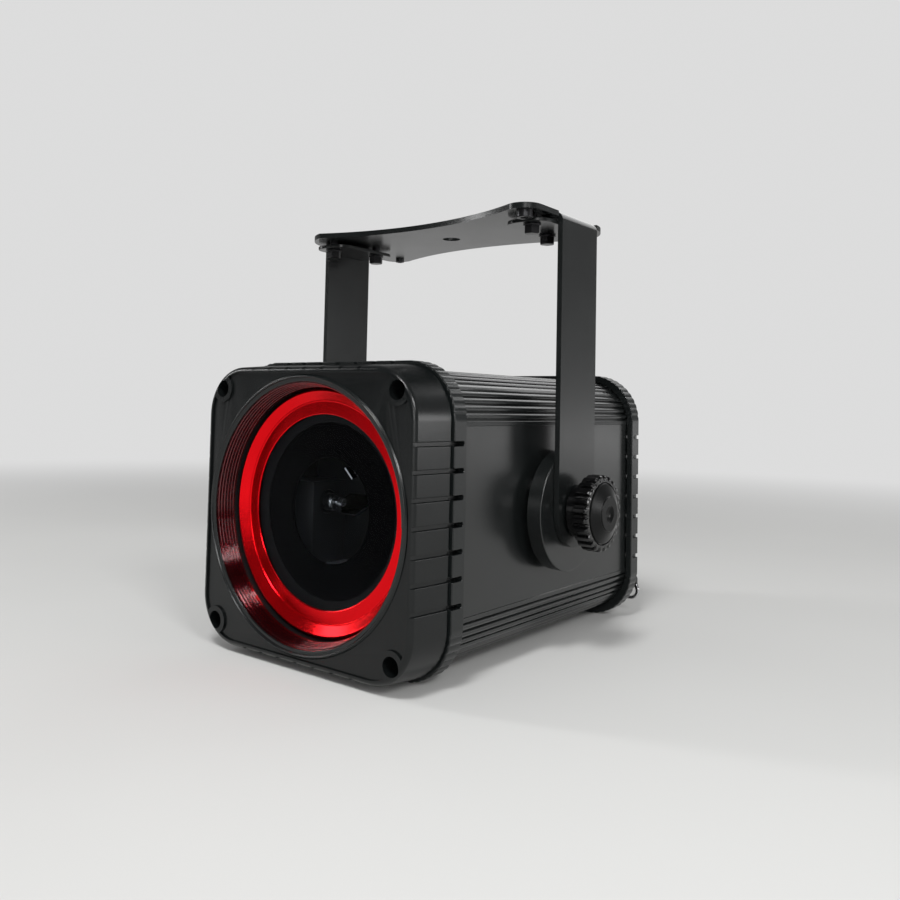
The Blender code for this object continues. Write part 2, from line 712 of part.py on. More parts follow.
def wide_corner():
    """Centre of the crossbar's wide corner, and where it meets the waist."""
    hub = Vector((0, WAIST_HALF + WAIST_RADIUS))
    centre = Vector((WING_X - ROUND_CORNER, ARM_WIDTH / 2))
    gap = (centre - hub).length
    toward = (centre - hub) / gap
    along = (gap**2 + WAIST_RADIUS**2 - ROUND_CORNER**2) / (2 * gap)
    aside = math.sqrt(WAIST_RADIUS**2 - along**2)
    return centre, hub + toward * along + Vector((-toward.y, toward.x)) * aside


def tight_corner():
    """Centre of a wing's corner, which runs smoothly out of the waist, and where it meets it."""
    hub = Vector((0, WAIST_HALF + WAIST_RADIUS))
    reach = WAIST_RADIUS + WING_CORNER
    across = WING_X - WING_CORNER
    centre = Vector((across, hub.y - math.sqrt(reach**2 - across**2)))
    return centre, centre.lerp(hub, WING_CORNER / reach)


def crossbar_quarter(corner, radius):
    """A quarter of the crossbar's outline at +x, from the waist's middle to the bend, as (x, y) points."""
    centre, meeting = corner()
    notch = ARM_WIDTH / 2 + RELIEF_WIDTH
    last = math.asin(meeting.x / WAIST_RADIUS)
    waist = arc((0, WAIST_HALF + WAIST_RADIUS), WAIST_RADIUS, -math.pi / 2, last - math.pi / 2, WAIST_STEPS)
    start = math.atan2(meeting.y - centre.y, meeting.x - centre.x)
    end = math.asin(max(0.0, notch - centre.y) / radius)
    rounded = arc(tuple(centre), radius, start, end, WING_STEPS)
    if centre.y > notch:
        rounded.append((WING_X, notch))
    bend_x = ARM_INNER - BEND_RADIUS
    relief = [
        (bend_x - RELIEF_DEPTH, notch),
        (bend_x - RELIEF_DEPTH, ARM_WIDTH / 2),
        (bend_x, ARM_WIDTH / 2),
    ]
    return waist[:-1] + rounded + relief


def crossbar_outline():
    """The whole flat of the crossbar: wings at two opposite corners, wide corners at the others."""
    wing = crossbar_quarter(tight_corner, WING_CORNER)
    right = crossbar_quarter(wide_corner, ROUND_CORNER) + [(x, -y) for x, y in reversed(wing)]
    return right + [(-x, -y) for x, y in right[1:-1]]


def strap_arm(shape, side):
    """Bend and arm at one end: loops of the strap's section swept round the bend, then down the arm."""
    bend_x = ARM_INNER - BEND_RADIUS
    bend_z = CROSSBAR_UNDERSIDE - BEND_RADIUS
    half = ARM_WIDTH / 2
    sections = []
    for i in range(BEND_STEPS + 1):
        turn = math.pi / 2 * (1 - i / BEND_STEPS)
        out = (math.cos(turn), math.sin(turn))
        inner = (bend_x + BEND_RADIUS * out[0], bend_z + BEND_RADIUS * out[1])
        outer = (bend_x + (BEND_RADIUS + STRAP) * out[0], bend_z + (BEND_RADIUS + STRAP) * out[1])
        sections.append([(inner, -half), (outer, -half), (outer, half), (inner, half)])
    for i in range(ARM_END_STEPS + 1):
        turn = math.pi / 2 * min(i, ARM_END_STEPS - 0.4) / ARM_END_STEPS
        y = half * math.cos(turn)
        z = -half * math.sin(turn)
        inner = (ARM_INNER, z)
        outer = (ARM_OUTER, z)
        sections.append([(inner, -y), (outer, -y), (outer, y), (inner, y)])
    loops = [[(side * spot[0], y, spot[1]) for spot, y in section] for section in sections]
    loft(loops, shape=shape)


def make_yoke(frame):
    """One bent strap with its captive nuts and holes, drawn about the pivot axis."""
    shape = bmesh.new()
    outline = crossbar_outline()
    loft([[(x, y, z) for x, y in outline] for z in (CROSSBAR_UNDERSIDE, CROSSBAR_TOP)], shape=shape)
    for side in (-1, 1):
        strap_arm(shape, side)
    weld_bends(shape)
    yoke = place("yoke", shape, frame, "strap_black")
    nuts = bmesh.new()
    for x, y, radius, length in CAPTIVE_NUTS:
        ends = (CROSSBAR_UNDERSIDE - length, CROSSBAR_UNDERSIDE + STRAP / 2)
        cylinder(radius, *ends, "Z", (x, y, 0), TINY_STEPS, nuts)
    join(yoke, nuts)
    holes = bmesh.new()
    cylinder(YOKE_HOLE, CROSSBAR_UNDERSIDE - MM, CROSSBAR_TOP + MM, "Z", shape=holes)
    through = (CROSSBAR_UNDERSIDE - MM, CROSSBAR_TOP + MM)
    for x, y in bolt_places():
        cylinder(BOLT_SHANK + GAP, *through, "Z", (x, y, 0), TINY_STEPS, holes)
    for side in (-1, 1):
        reach = (side * (ARM_INNER - MM), side * (ARM_OUTER + MM))
        cylinder(STUD_RADIUS + GAP, *reach, "X", shape=holes)
    cut(yoke, holes)


def weld_bends(shape):
    """Open the flat and the two bends where they meet, and merge them into one skin."""
    bend_x = ARM_INNER - BEND_RADIUS
    meeting = []
    for face in shape.faces:
        if all(abs(abs(vert.co.x) - bend_x) < 1e-6 for vert in face.verts):
            meeting.append(face)
    bmesh.ops.delete(shape, geom=meeting, context="FACES")
    bmesh.ops.remove_doubles(shape, verts=shape.verts, dist=1e-6)


def bolt_places():
    """The four stiffener bolts as (x, y), right end first."""
    return [(side * x, y) for side in (1, -1) for x, y in STIFFENER_BOLTS]


def make_stiffeners(frame):
    """Plates under both ends of the crossbar, each held by two bolts."""
    top = CROSSBAR_UNDERSIDE - STIFFENER_DROP
    bottom = top - STIFFENER_THICKNESS
    half_x = (ARM_INNER - GAP - STIFFENER_INNER_X) / 2
    half_y = (STIFFENER_FRONT + STIFFENER_REAR) / 2
    middle_y = STIFFENER_REAR - half_y
    outline = rounded_rectangle(half_x, half_y, STIFFENER_CORNER, 3)
    for side, name in ((-1, "left"), (1, "right")):
        middle = side * (STIFFENER_INNER_X + half_x)
        loops = [[(middle + x, middle_y + y, z) for x, y in outline] for z in (bottom, top)]
        plate = place(f"stiffener_{name}", loft(loops), frame, "strap_black")
        holes = bmesh.new()
        for x, y in STIFFENER_BOLTS:
            spot = (side * x, y, 0)
            cylinder(BOLT_SHANK + GAP, bottom - MM, top + MM, "Z", spot, TINY_STEPS, holes)
        cut(plate, holes)
    for index, (x, y) in enumerate(bolt_places()):
        make_bolt(f"stiffener_bolt_{index + 1}", frame, (x, y, 0), bottom - GAP)


def make_bolt(name, frame, spot, seat):
    """A hexagon bolt, head down, whose end lies just under the crossbar's top."""
    head = cylinder(BOLT_HEAD, seat - BOLT_HEAD_LENGTH, seat, "Z", spot, 6)
    bolt = place(name, head, frame, "screw_black")
    join(bolt, cylinder(BOLT_SHANK, seat - MM, CROSSBAR_TOP - GAP, "Z", spot, TINY_STEPS))


def make_pivot_disc(name, housing, side):
    """Friction disc with a smaller seat against the body."""
    seat = BODY_HALF - PANEL_RECESS + GAP
    face = ARM_INNER - GAP
    step = seat + DISC_SEAT_DEPTH
    edge = MM
    bore = STUD_RADIUS + GAP
    profile = [(bore, seat), (DISC_SEAT_RADIUS, seat), (DISC_SEAT_RADIUS, step), (DISC_RADIUS, step)]
    profile += [(DISC_RADIUS, face - edge), (DISC_RADIUS - edge, face), (bore, face)]
    points = [(radius, side * height) for radius, height in profile]
    place(name, turned(points, "X", (0, PIVOT_Y, 0), DISC_STEPS, ring=True), housing, "body_black")


def flute_circle(height, grow):
    """A loop with half-round flutes, pushed in or out by grow."""
    points = []
    per_flute = 3
    count = KNOB_FLUTES * per_flute
    for i in range(count):
        angle = 2 * math.pi * i / count
        hollow = abs(math.sin(angle * KNOB_FLUTES / 2))
        radius = KNOB_RADIUS - KNOB_FLUTE_DEPTH * (1 - hollow) + grow
        points.append((height, radius * math.cos(angle), radius * math.sin(angle)))
    return points


def make_knob(name, frame, side):
    """A fluted knob with a domed cap, drawn from the arm's outer face outwards."""
    base = ARM_OUTER + GAP
    grip = ARM_OUTER + KNOB_NECK_LENGTH
    face = grip + KNOB_GRIP_LENGTH
    cap = face + KNOB_CONE_LENGTH
    core = [(KNOB_NECK, base), (KNOB_NECK, grip + MM), (KNOB_CONE, grip + MM), (KNOB_CONE, face)]
    core += [(KNOB_CAP, cap), (KNOB_CAP - MM, cap), (KNOB_CAP - 2 * MM, cap - KNOB_DIMPLE)]
    points = [(radius, side * height) for radius, height in core]
    knob = place(name, turned(points, "X", steps=KNOB_STEPS), frame, "knob_black")
    rim = 0.8 * MM
    rows = [(grip, 0), (face - rim, 0), (face - rim / 2, -rim)]
    join(knob, loft([flute_circle(side * height, grow) for height, grow in rows]))
    bore_end = ARM_OUTER + KNOB_BORE_DEPTH
    cut(knob, cylinder(STUD_RADIUS + GAP, side * (base - MM), side * bore_end, "X"))
    tip = side * (bore_end - GAP)
    stud = cylinder(STUD_RADIUS, side * STUD_INNER_X, tip, "X")
    place(name.replace("knob", "knob_stud"), stud, frame, "plated_steel")


# Inside

def make_base(housing):
    """The optical base plate, which slides in on the body's ledges."""
    half = INNER_HALF - GAP
    low = (-half, BASE_FRONT_Y, BASE_UNDERSIDE_Z)
    place("base_plate", block(low, (half, BASE_REAR_Y, BASE_TOP_Z)), housing, "aluminium")


def motor_profile(nose):
    """A scanner motor from its nose backwards, as (radius, distance) points."""
    shoulder = nose + MOTOR_NOSE_LENGTH
    rear = nose + MOTOR_LENGTH
    return [(MOTOR_NOSE, nose), (MOTOR_NOSE, shoulder), (MOTOR_RADIUS, shoulder), (MOTOR_RADIUS, rear)]


def make_scanner(housing):
    """Mount, two motors and two mirrors: the upper mirror turns about Y, the lower one about X."""
    x0, y0, low_z = MIRROR_Y_POS
    high_z = MIRROR_X_POS[2]
    wall = MOUNT_WALL
    nose_x = x0 - MIRROR_Y_SIZE[0] / 2 - NOSE_GAP
    nose_y = y0 + MIRROR_X_SIZE[0] / 2 + NOSE_GAP
    left = nose_x - MOTOR_NOSE_LENGTH - MOUNT_LENGTH
    right = nose_x - MOTOR_NOSE_LENGTH
    rear = nose_y + MOTOR_NOSE_LENGTH
    reach = MOTOR_RADIUS + wall
    foot = BASE_TOP_Z + GAP
    low_block = block((left, y0 - reach, foot), (right, rear + wall, low_z + reach))
    mount = place("galvo_mount", low_block, housing, "aluminium")
    join(mount, block((left + MM, rear, foot), (x0 + reach, rear + MOUNT_DEPTH, high_z + reach)))
    hole = MOTOR_RADIUS + GAP
    cut(mount, cylinder(hole, left - MM, right + MM, "X", (0, y0, low_z)))
    cut(mount, cylinder(hole, rear - MM, rear + MOUNT_DEPTH + MM, "Y", (x0, 0, high_z)))
    motor_y = [(radius, -distance) for radius, distance in motor_profile(-nose_x)]
    make_motor("galvo_motor_y", housing, motor_y, "X", (0, y0, low_z), nose_x, -1)
    make_motor("galvo_motor_x", housing, motor_profile(nose_y), "Y", (x0, 0, high_z), nose_y, 1)
    make_mirror_y(housing, nose_x)
    make_mirror_x(housing, nose_y)


def make_motor(name, housing, profile, axis, centre, nose, way):
    """A motor body with the bore that its mirror's shaft turns in."""
    motor = place(name, turned(profile, axis, centre, SMALL_STEPS), housing, "screw_black")
    ends = (nose - way * MM, nose + way * MOTOR_NOSE_LENGTH)
    cut(motor, cylinder(SHAFT_RADIUS + GAP, *ends, axis, centre, TINY_STEPS))


def make_mirror_y(housing, nose_x):
    """The large mirror: a six-sided paddle on a shaft along X."""
    frame = empty("galvo_mirror_y_axis", housing, MIRROR_Y_POS)
    length, width, thickness = MIRROR_Y_SIZE
    shoulder = length / 2 - width / 4
    outline = [(-length / 2, 0), (-shoulder, width / 2), (shoulder, width / 2)]
    outline += [(length / 2, 0), (shoulder, -width / 2), (-shoulder, -width / 2)]
    shape = prism(outline, -thickness / 2, thickness / 2)
    bmesh.ops.rotate(shape, verts=shape.verts, cent=(0, 0, 0), matrix=Matrix.Rotation(-MIRROR_TILT, 3, "X"))
    mirror = place("galvo_mirror_y", shape, frame, "mirror")
    start = nose_x - MIRROR_Y_POS[0] - MOTOR_NOSE_LENGTH + MM
    join(mirror, cylinder(SHAFT_RADIUS, start, -length / 2 + 4 * MM, "X", steps=TINY_STEPS))


def make_mirror_x(housing, nose_y):
    """The small mirror: a plate on a shaft along Y."""
    frame = empty("galvo_mirror_x_axis", housing, MIRROR_X_POS)
    length, width, thickness = MIRROR_X_SIZE
    shape = block((-width / 2, -length / 2, -thickness / 2), (width / 2, length / 2, thickness / 2))
    bmesh.ops.rotate(shape, verts=shape.verts, cent=(0, 0, 0), matrix=Matrix.Rotation(MIRROR_TILT, 3, "Y"))
    mirror = place("galvo_mirror_x", shape, frame, "mirror")
    end = nose_y - MIRROR_X_POS[1] + MOTOR_NOSE_LENGTH - MM
    join(mirror, cylinder(SHAFT_RADIUS, length / 2 - 3 * MM, end, "Y", steps=TINY_STEPS))


def make_sources(housing):
    """Three laser modules with finned backs, and the two dichroic plates before them."""
    width, length, height = MODULE_SIZE
    foot = BASE_TOP_Z + GAP
    for index, colour in enumerate(("red", "green", "blue")):
        x = (index - 1) * MODULE_PITCH
        low = (x - width / 2, MODULE_Y, foot)
        high = (x + width / 2, MODULE_Y + length, foot + height)
        module = place(f"laser_module_{colour}", block(low, high), housing, "aluminium")
        cut(module, module_gaps(x, foot))
        beam = (x, 0, foot + height / 2)
        snout = cylinder(MODULE_SNOUT, MODULE_Y - 4 * MM, MODULE_Y + MM, "Y", beam, TINY_STEPS)
        join(module, snout)
    for index in range(2):
        x = (index - 0.5) * MODULE_PITCH
        make_combiner(f"beam_combiner_{index + 1}", housing, (x, MODULE_Y - COMBINER_AHEAD), foot)


def module_gaps(x, foot):
    """The gaps between the fins on a module's rear half."""
    width, length, height = MODULE_SIZE
    pitch = width / MODULE_FINS
    shape = bmesh.new()
    for index in range(MODULE_FINS - 1):
        middle = x - width / 2 + (index + 1) * pitch
        low = (middle - MM, MODULE_Y + length / 2, foot + height / 2)
        block(low, (middle + MM, MODULE_Y + length + MM, foot + height + MM), shape)
    return shape


def make_combiner(name, housing, spot, foot):
    """A dichroic plate at 45 degrees on a square foot."""
    x, y = spot
    width, thickness, height = COMBINER_SIZE
    half = width / 2
    top = foot + COMBINER_FOOT
    holder = place(name, block((x - half, y - half, foot), (x + half, y + half, top)), housing, "aluminium")
    plate = block((-half, -thickness / 2, -MM), (half, thickness / 2, height))
    turn = Matrix.Rotation(MIRROR_TILT, 3, "Z")
    bmesh.ops.rotate(plate, verts=plate.verts, cent=(0, 0, 0), matrix=turn)
    bmesh.ops.translate(plate, verts=plate.verts, vec=(x, y, top))
    join(holder, plate)


def make_electronics(housing):
    """Driver board standing on the base plate, and the supply hung under it."""
    thick, length, height = BOARD_SIZE
    foot = BASE_TOP_Z + GAP
    high = (BOARD_X + thick, BOARD_Y + length, foot + height)
    board = place("galvo_driver_board", block((BOARD_X, BOARD_Y, foot), high), housing, "board_green")
    rows, columns = CHIP_GRID
    chips = bmesh.new()
    for row in range(rows):
        for column in range(columns):
            y = BOARD_Y + (column + 0.3) * length / columns
            z = foot + (row + 0.3) * height / rows
            block((BOARD_X - CHIP_DEPTH, y, z), (BOARD_X + thick / 2, y + CHIP, z + CHIP), chips)
    join(board, chips)
    width, depth, tall = SUPPLY_SIZE
    top = BASE_UNDERSIDE_Z - GAP
    low = (-width / 2, SUPPLY_Y, top - tall)
    place("power_supply", block(low, (width / 2, SUPPLY_Y + depth, top)), housing, "plated_steel")


# Rear cover and its equipment

def cover_outline(_, inset):
    """Section of the rear cover."""
    half = BODY_HALF - inset
    return rounded_square(half, half - (BODY_HALF - BODY_CORNER))


def make_cover(housing):
    """The cast rear cover with its screw wells and cut-outs."""
    sections = filleted(cover_outline, COVER_Y, COVER_FACE_Y, 0.3 * MM, COVER_FILLET, (1, 2))
    cover = place("rear_cover", loft(sections), housing, "cast_black")
    holes = bmesh.new()
    for spot in (POWER_X, DATA_IN_X, DATA_OUT_X):
        centre = (spot, 0, SOCKET_Z)
        cylinder(SOCKET_SHELL + GAP, COVER_Y - MM, COVER_FACE_Y + MM, "Y", centre, SOCKET_STEPS, holes)
    round_holes = [(KEY_POS, KEY_BARREL, SMALL_STEPS), (LED_POS, LED_RADIUS, TINY_STEPS)]
    round_holes.append((VENT_POS, VENT_RADIUS / 2, TINY_STEPS))
    for (hx, hz), radius, steps in round_holes:
        cylinder(radius + GAP, COVER_Y - MM, COVER_FACE_Y + MM, "Y", (hx, 0, hz), steps, holes)
    reach = (BUTTON_COUNT - 1) / 2 * BUTTON_PITCH + BUTTON_RADIUS + GAP
    high = button_z() + BUTTON_RADIUS + GAP
    block((-reach, COVER_Y - MM, button_z() - BUTTON_RADIUS - GAP), (reach, COVER_FACE_Y + MM, high), holes)
    cut(cover, holes)
    head = COVER_FACE_Y - COVER_COUNTERBORE_DEPTH + SCREW_HEAD_LENGTH
    cut(cover, cover_wells(head))
    for index, spot in enumerate(corners(SCREW_X, SCREW_X)):
        make_screw(f"rear_screw_{index + 1}", housing, spot, head - GAP, -1)


def cover_wells(head_y):
    """Counterbores of the rear cover's screws, whose heads stand a little proud."""
    shape = bmesh.new()
    seat = head_y - SCREW_HEAD_LENGTH
    radius = SCREW_HEAD + GAP
    clearance = SCREW_SHANK + GAP
    profile = [(radius, COVER_FACE_Y + MM), (radius, seat), (clearance, seat), (clearance, COVER_Y - MM)]
    for x, z in corners(SCREW_X, SCREW_X):
        turned(profile, "Y", (x, 0, z), TINY_STEPS, shape=shape)
    return shape


def make_safety_eye(housing):
    """A joggled strap with a ring for the safety cable, screwed to the cover's lower right corner."""
    x, z = EYE_POS
    foot = COVER_FACE_Y + GAP
    lower = EYE_FOOT_TOP_Z - EYE_FOOT_LENGTH
    thick = EYE_THICKNESS
    end = z + EYE_HOLE + MM
    rear = EYE_Y + thick
    joggle = lower - EYE_STANDOFF
    profile = [(foot, EYE_FOOT_TOP_Z), (foot, lower), (EYE_Y, joggle), (EYE_Y, end)]
    profile += [(rear, end), (rear, joggle), (foot + thick, lower), (foot + thick, EYE_FOOT_TOP_Z)]
    sides = (x - EYE_STRAP_WIDTH / 2, x + EYE_STRAP_WIDTH / 2)
    strap = loft([[(side, y, height) for y, height in profile] for side in sides])
    eye = place("safety_eye", strap, housing, "plated_steel")
    sliver = 0.01 * MM
    join(eye, cylinder(EYE_RADIUS, EYE_Y - sliver, rear + sliver, "Y", (x, 0, z)))
    screw_z = EYE_FOOT_TOP_Z - EYE_FOOT_LENGTH / 2
    head = (foot + MM, foot + thick + EYE_SCREW_PROUD)
    join(eye, cylinder(SCREW_HEAD, *head, "Y", (x, 0, screw_z), TINY_STEPS))
    cut(eye, cylinder(EYE_HOLE, EYE_Y - MM, rear + MM, "Y", (x, 0, z)))


def make_socket(name, housing, x, finish, pins):
    """A round panel socket: flange, shell with an open bore, and its contacts."""
    flange_y = COVER_FACE_Y + GAP
    mouth = flange_y + SOCKET_FLANGE_DEPTH
    rear = mouth - SOCKET_BARREL_DEPTH
    half_x, half_z = SOCKET_FLANGE[0] / 2, SOCKET_FLANGE[1] / 2
    outline = rounded_rectangle(half_x, half_z, 3 * MM, 3, (x, SOCKET_Z))
    socket = place(name, prism(outline, flange_y, mouth), housing, finish)
    join(socket, cylinder(SOCKET_SHELL, rear, flange_y + MM, "Y", (x, 0, SOCKET_Z), SOCKET_STEPS))
    cut(socket, cylinder(SOCKET_BORE, rear + SOCKET_FLOOR, mouth + MM, "Y", (x, 0, SOCKET_Z), SOCKET_STEPS))
    contacts = bmesh.new()
    ends = (rear + SOCKET_FLOOR / 2, rear + SOCKET_FLOOR + PIN_LENGTH)
    for index in range(pins):
        angle = 2 * math.pi * index / pins + math.pi / 2
        centre = (x + PIN_CIRCLE * math.cos(angle), 0, SOCKET_Z + PIN_CIRCLE * math.sin(angle))
        cylinder(PIN_RADIUS, *ends, "Y", centre, 6, contacts)
    join(socket, contacts)


def make_key_switch(housing):
    """Lock body through the cover, and the plug that turns in it."""
    x, z = KEY_POS
    face = COVER_FACE_Y + 3 * MM
    rear = COVER_Y - 12 * MM
    profile = [(KEY_BARREL, rear), (KEY_BARREL, COVER_FACE_Y + GAP), (KEY_FLANGE, COVER_FACE_Y + GAP)]
    profile += [(KEY_FLANGE, face - MM), (KEY_FLANGE - MM, face)]
    lock = place("key_switch", turned(profile, "Y", (x, 0, z), SMALL_STEPS), housing, "plated_steel")
    floor = COVER_Y - 6 * MM
    cut(lock, cylinder(KEY_ROTOR + GAP, floor, face + MM, "Y", (x, 0, z)))
    frame = empty("key_axis", housing, (x, floor + GAP, z))
    length = face - floor - GAP
    rotor = place("key_rotor", cylinder(KEY_ROTOR, 0, length, "Y"), frame, "plated_steel")
    wide, tall = KEY_SLOT
    cut(rotor, block((-wide / 2, length - 4 * MM, -tall / 2), (wide / 2, length + MM, tall / 2)))


def make_indicators(housing):
    """Emission lamp and venting plug."""
    x, z = LED_POS
    flange_y = COVER_FACE_Y + GAP
    rim = LED_RADIUS + MM
    rim_y = flange_y + MM
    dome = [(LED_RADIUS, COVER_Y), (LED_RADIUS, flange_y), (rim, flange_y), (rim, rim_y)]
    dome += [(LED_RADIUS, rim_y), (LED_RADIUS * 0.8, flange_y + 2 * MM)]
    dome += [(LED_RADIUS * 0.4, flange_y + 2.4 * MM)]
    place("emission_led", turned(dome, "Y", (x, 0, z), TINY_STEPS), housing, "led_red")
    x, z = VENT_POS
    hexagon = cylinder(VENT_RADIUS, flange_y, flange_y + VENT_HEX_DEPTH, "Y", (x, 0, z), 6)
    vent = place("pressure_vent", hexagon, housing, "socket_black")
    join(vent, cylinder(VENT_RADIUS / 2, COVER_Y, flange_y + MM, "Y", (x, 0, z), TINY_STEPS))
    top = flange_y + VENT_CAP_DEPTH
    join(vent, cylinder(VENT_RADIUS * 0.7, flange_y + MM, top, "Y", (x, 0, z), TINY_STEPS))


def button_places():
    """Places of the menu keys along X."""
    middle = (BUTTON_COUNT - 1) / 2
    return [(index - middle) * BUTTON_PITCH for index in range(BUTTON_COUNT)]


def button_z():
    """Height of the row of menu keys."""
    return PANEL_Z - BUTTON_DROP


def make_menu(housing):
    """Display panel with its sunk screen, and four sprung keys through it."""
    width, height, depth = PANEL_SIZE
    near = COVER_FACE_Y + GAP
    outline = rounded_rectangle(width / 2, height / 2, 3 * MM, 3, (0, PANEL_Z))
    panel = place("menu_display", prism(outline, near, near + depth), housing, "screen")
    half_x, half_z = SCREEN_SIZE[0] / 2, SCREEN_SIZE[1] / 2
    middle = PANEL_Z + SCREEN_RISE
    beyond = near + depth + MM
    screen_low = (-half_x, near + depth - SCREEN_RECESS, middle - half_z)
    tools = block(screen_low, (half_x, beyond, middle + half_z))
    for spot in button_places():
        centre = (spot, 0, button_z())
        cylinder(BUTTON_RADIUS + GAP, near - MM, beyond, "Y", centre, TINY_STEPS, tools)
    cut(panel, tools)
    for index, spot in enumerate(button_places()):
        frame = empty(f"menu_button_{index + 1}_axis", housing, (spot, near, button_z()))
        proud = depth + BUTTON_PROUD
        inner = -BUTTON_STEM
        edge = BUTTON_EDGE
        profile = [(BUTTON_RADIUS, inner), (BUTTON_RADIUS, proud - edge), (BUTTON_RADIUS - edge, proud)]
        place(f"menu_button_{index + 1}", turned(profile, "Y", steps=TINY_STEPS), frame, "rubber")


def main():
    """Build the whole projector."""
    clear_scene()
    middle_y = (REAR_MOST_Y - BEAD_PROUD) / 2
    housing = empty("housing", None, (0, -middle_y, COLLAR_HALF))
    make_bezel(housing)
    for index, spot in enumerate(corners(SCREW_X, SCREW_X)):
        make_screw(f"front_screw_{index + 1}", housing, spot, SCREW_HEAD_Y, 1)
    make_window(housing)
    make_gasket("front_gasket", housing, BEZEL_DEPTH + GAP)
    make_gasket("rear_gasket", housing, HOUSING_DEPTH)
    make_body(housing)
    slot_end = COLLAR_Y + SLOT_LENGTH
    make_collar("front_collar", housing, COLLAR_Y, COLLAR_Y, slot_end)
    rear_start = HOUSING_DEPTH - COLLAR_DEPTH
    make_collar("rear_collar", housing, rear_start, HOUSING_DEPTH, HOUSING_DEPTH - SLOT_LENGTH)
    make_base(housing)
    make_scanner(housing)
    make_sources(housing)
    make_electronics(housing)
    make_cover(housing)
    make_socket("power_inlet", housing, POWER_X, "socket_black", 3)
    make_socket("data_in_socket", housing, DATA_IN_X, "plated_steel", 3)
    make_socket("data_out_socket", housing, DATA_OUT_X, "plated_steel", 3)
    make_safety_eye(housing)
    make_key_switch(housing)
    make_indicators(housing)
    make_menu(housing)
    make_pivot_disc("pivot_disc_left", housing, -1)
    make_pivot_disc("pivot_disc_right", housing, 1)
    pivot = empty("yoke_axis", housing, (0, PIVOT_Y, 0))
    make_yoke(pivot)
    make_stiffeners(pivot)
    for side, name in ((-1, "knob_left"), (1, "knob_right")):
        frame = empty(f"{name}_axis", housing, (0, PIVOT_Y, 0))
        make_knob(name, frame, side)


main()
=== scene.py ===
"""Looks of a laser light projector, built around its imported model.

Sizes are in millimetres in the housing's own frame: the front plate lies in y = 0, the optical axis is
x = z = 0, -Y faces the audience and +Z is up. Every finished mesh is moved to the row's frame in
metres, and its object stays at the origin.
"""

from __future__ import annotations

import logging
import math
from dataclasses import dataclass, field
from enum import Enum
from typing import Callable, Iterable, Sequence

import bmesh
import bpy
from mathutils import Matrix, Vector
from mathutils.geometry import tessellate_polygon

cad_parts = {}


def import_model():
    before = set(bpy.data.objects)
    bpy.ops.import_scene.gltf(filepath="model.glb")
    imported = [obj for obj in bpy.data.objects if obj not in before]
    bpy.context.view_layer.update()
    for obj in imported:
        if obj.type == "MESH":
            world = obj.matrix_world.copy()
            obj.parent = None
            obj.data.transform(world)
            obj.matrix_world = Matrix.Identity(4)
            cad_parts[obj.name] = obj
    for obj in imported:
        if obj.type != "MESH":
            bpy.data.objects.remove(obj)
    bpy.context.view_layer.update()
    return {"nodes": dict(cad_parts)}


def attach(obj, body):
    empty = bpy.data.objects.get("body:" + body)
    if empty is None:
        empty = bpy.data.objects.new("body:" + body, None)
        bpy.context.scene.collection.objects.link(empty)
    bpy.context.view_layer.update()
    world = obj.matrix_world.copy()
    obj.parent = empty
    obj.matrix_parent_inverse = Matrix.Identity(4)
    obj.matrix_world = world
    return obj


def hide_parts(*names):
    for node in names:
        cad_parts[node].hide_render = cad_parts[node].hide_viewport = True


LOG = logging.getLogger("projector")

MM = 0.001
HOUSING_SHIFT = Vector((0.0, -121.6, 79.0))
TO_ROW = Matrix.Scale(MM, 4) @ Matrix.Translation(HOUSING_SHIFT)
FULL_TURN = 2 * math.pi
QUARTER = math.pi / 2
WAVE_UNITS = 20  # radians of a wave texture per unit of scaled distance
NOISE_MIDDLE = (0.3, 0.7)  # the share of a noise pattern that spans its range

Point2 = tuple[float, float]
Point3 = tuple[float, float, float]
Colour = tuple[float, float, float]


class Axis(Enum):
    """The axis a round piece is turned about."""

    X = "X"
    Y = "Y"
    Z = "Z"

    def spot(self, across: Point2, along: float) -> Point3:
        """A point from its two cross coordinates and its place along the axis."""
        u, v = across
        return {"X": (along, u, v), "Y": (u, along, v), "Z": (u, v, along)}[self.value]


class Body(Enum):
    """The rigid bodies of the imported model."""

    HOUSING = "housing"
    YOKE = "tilting_yoke"
    LEFT_KNOB = "left_knob"
    RIGHT_KNOB = "right_knob"
    MIRROR_X = "scan_mirror_x"
    MIRROR_Y = "scan_mirror_y"
    KEY = "key_plug"


# Finishes


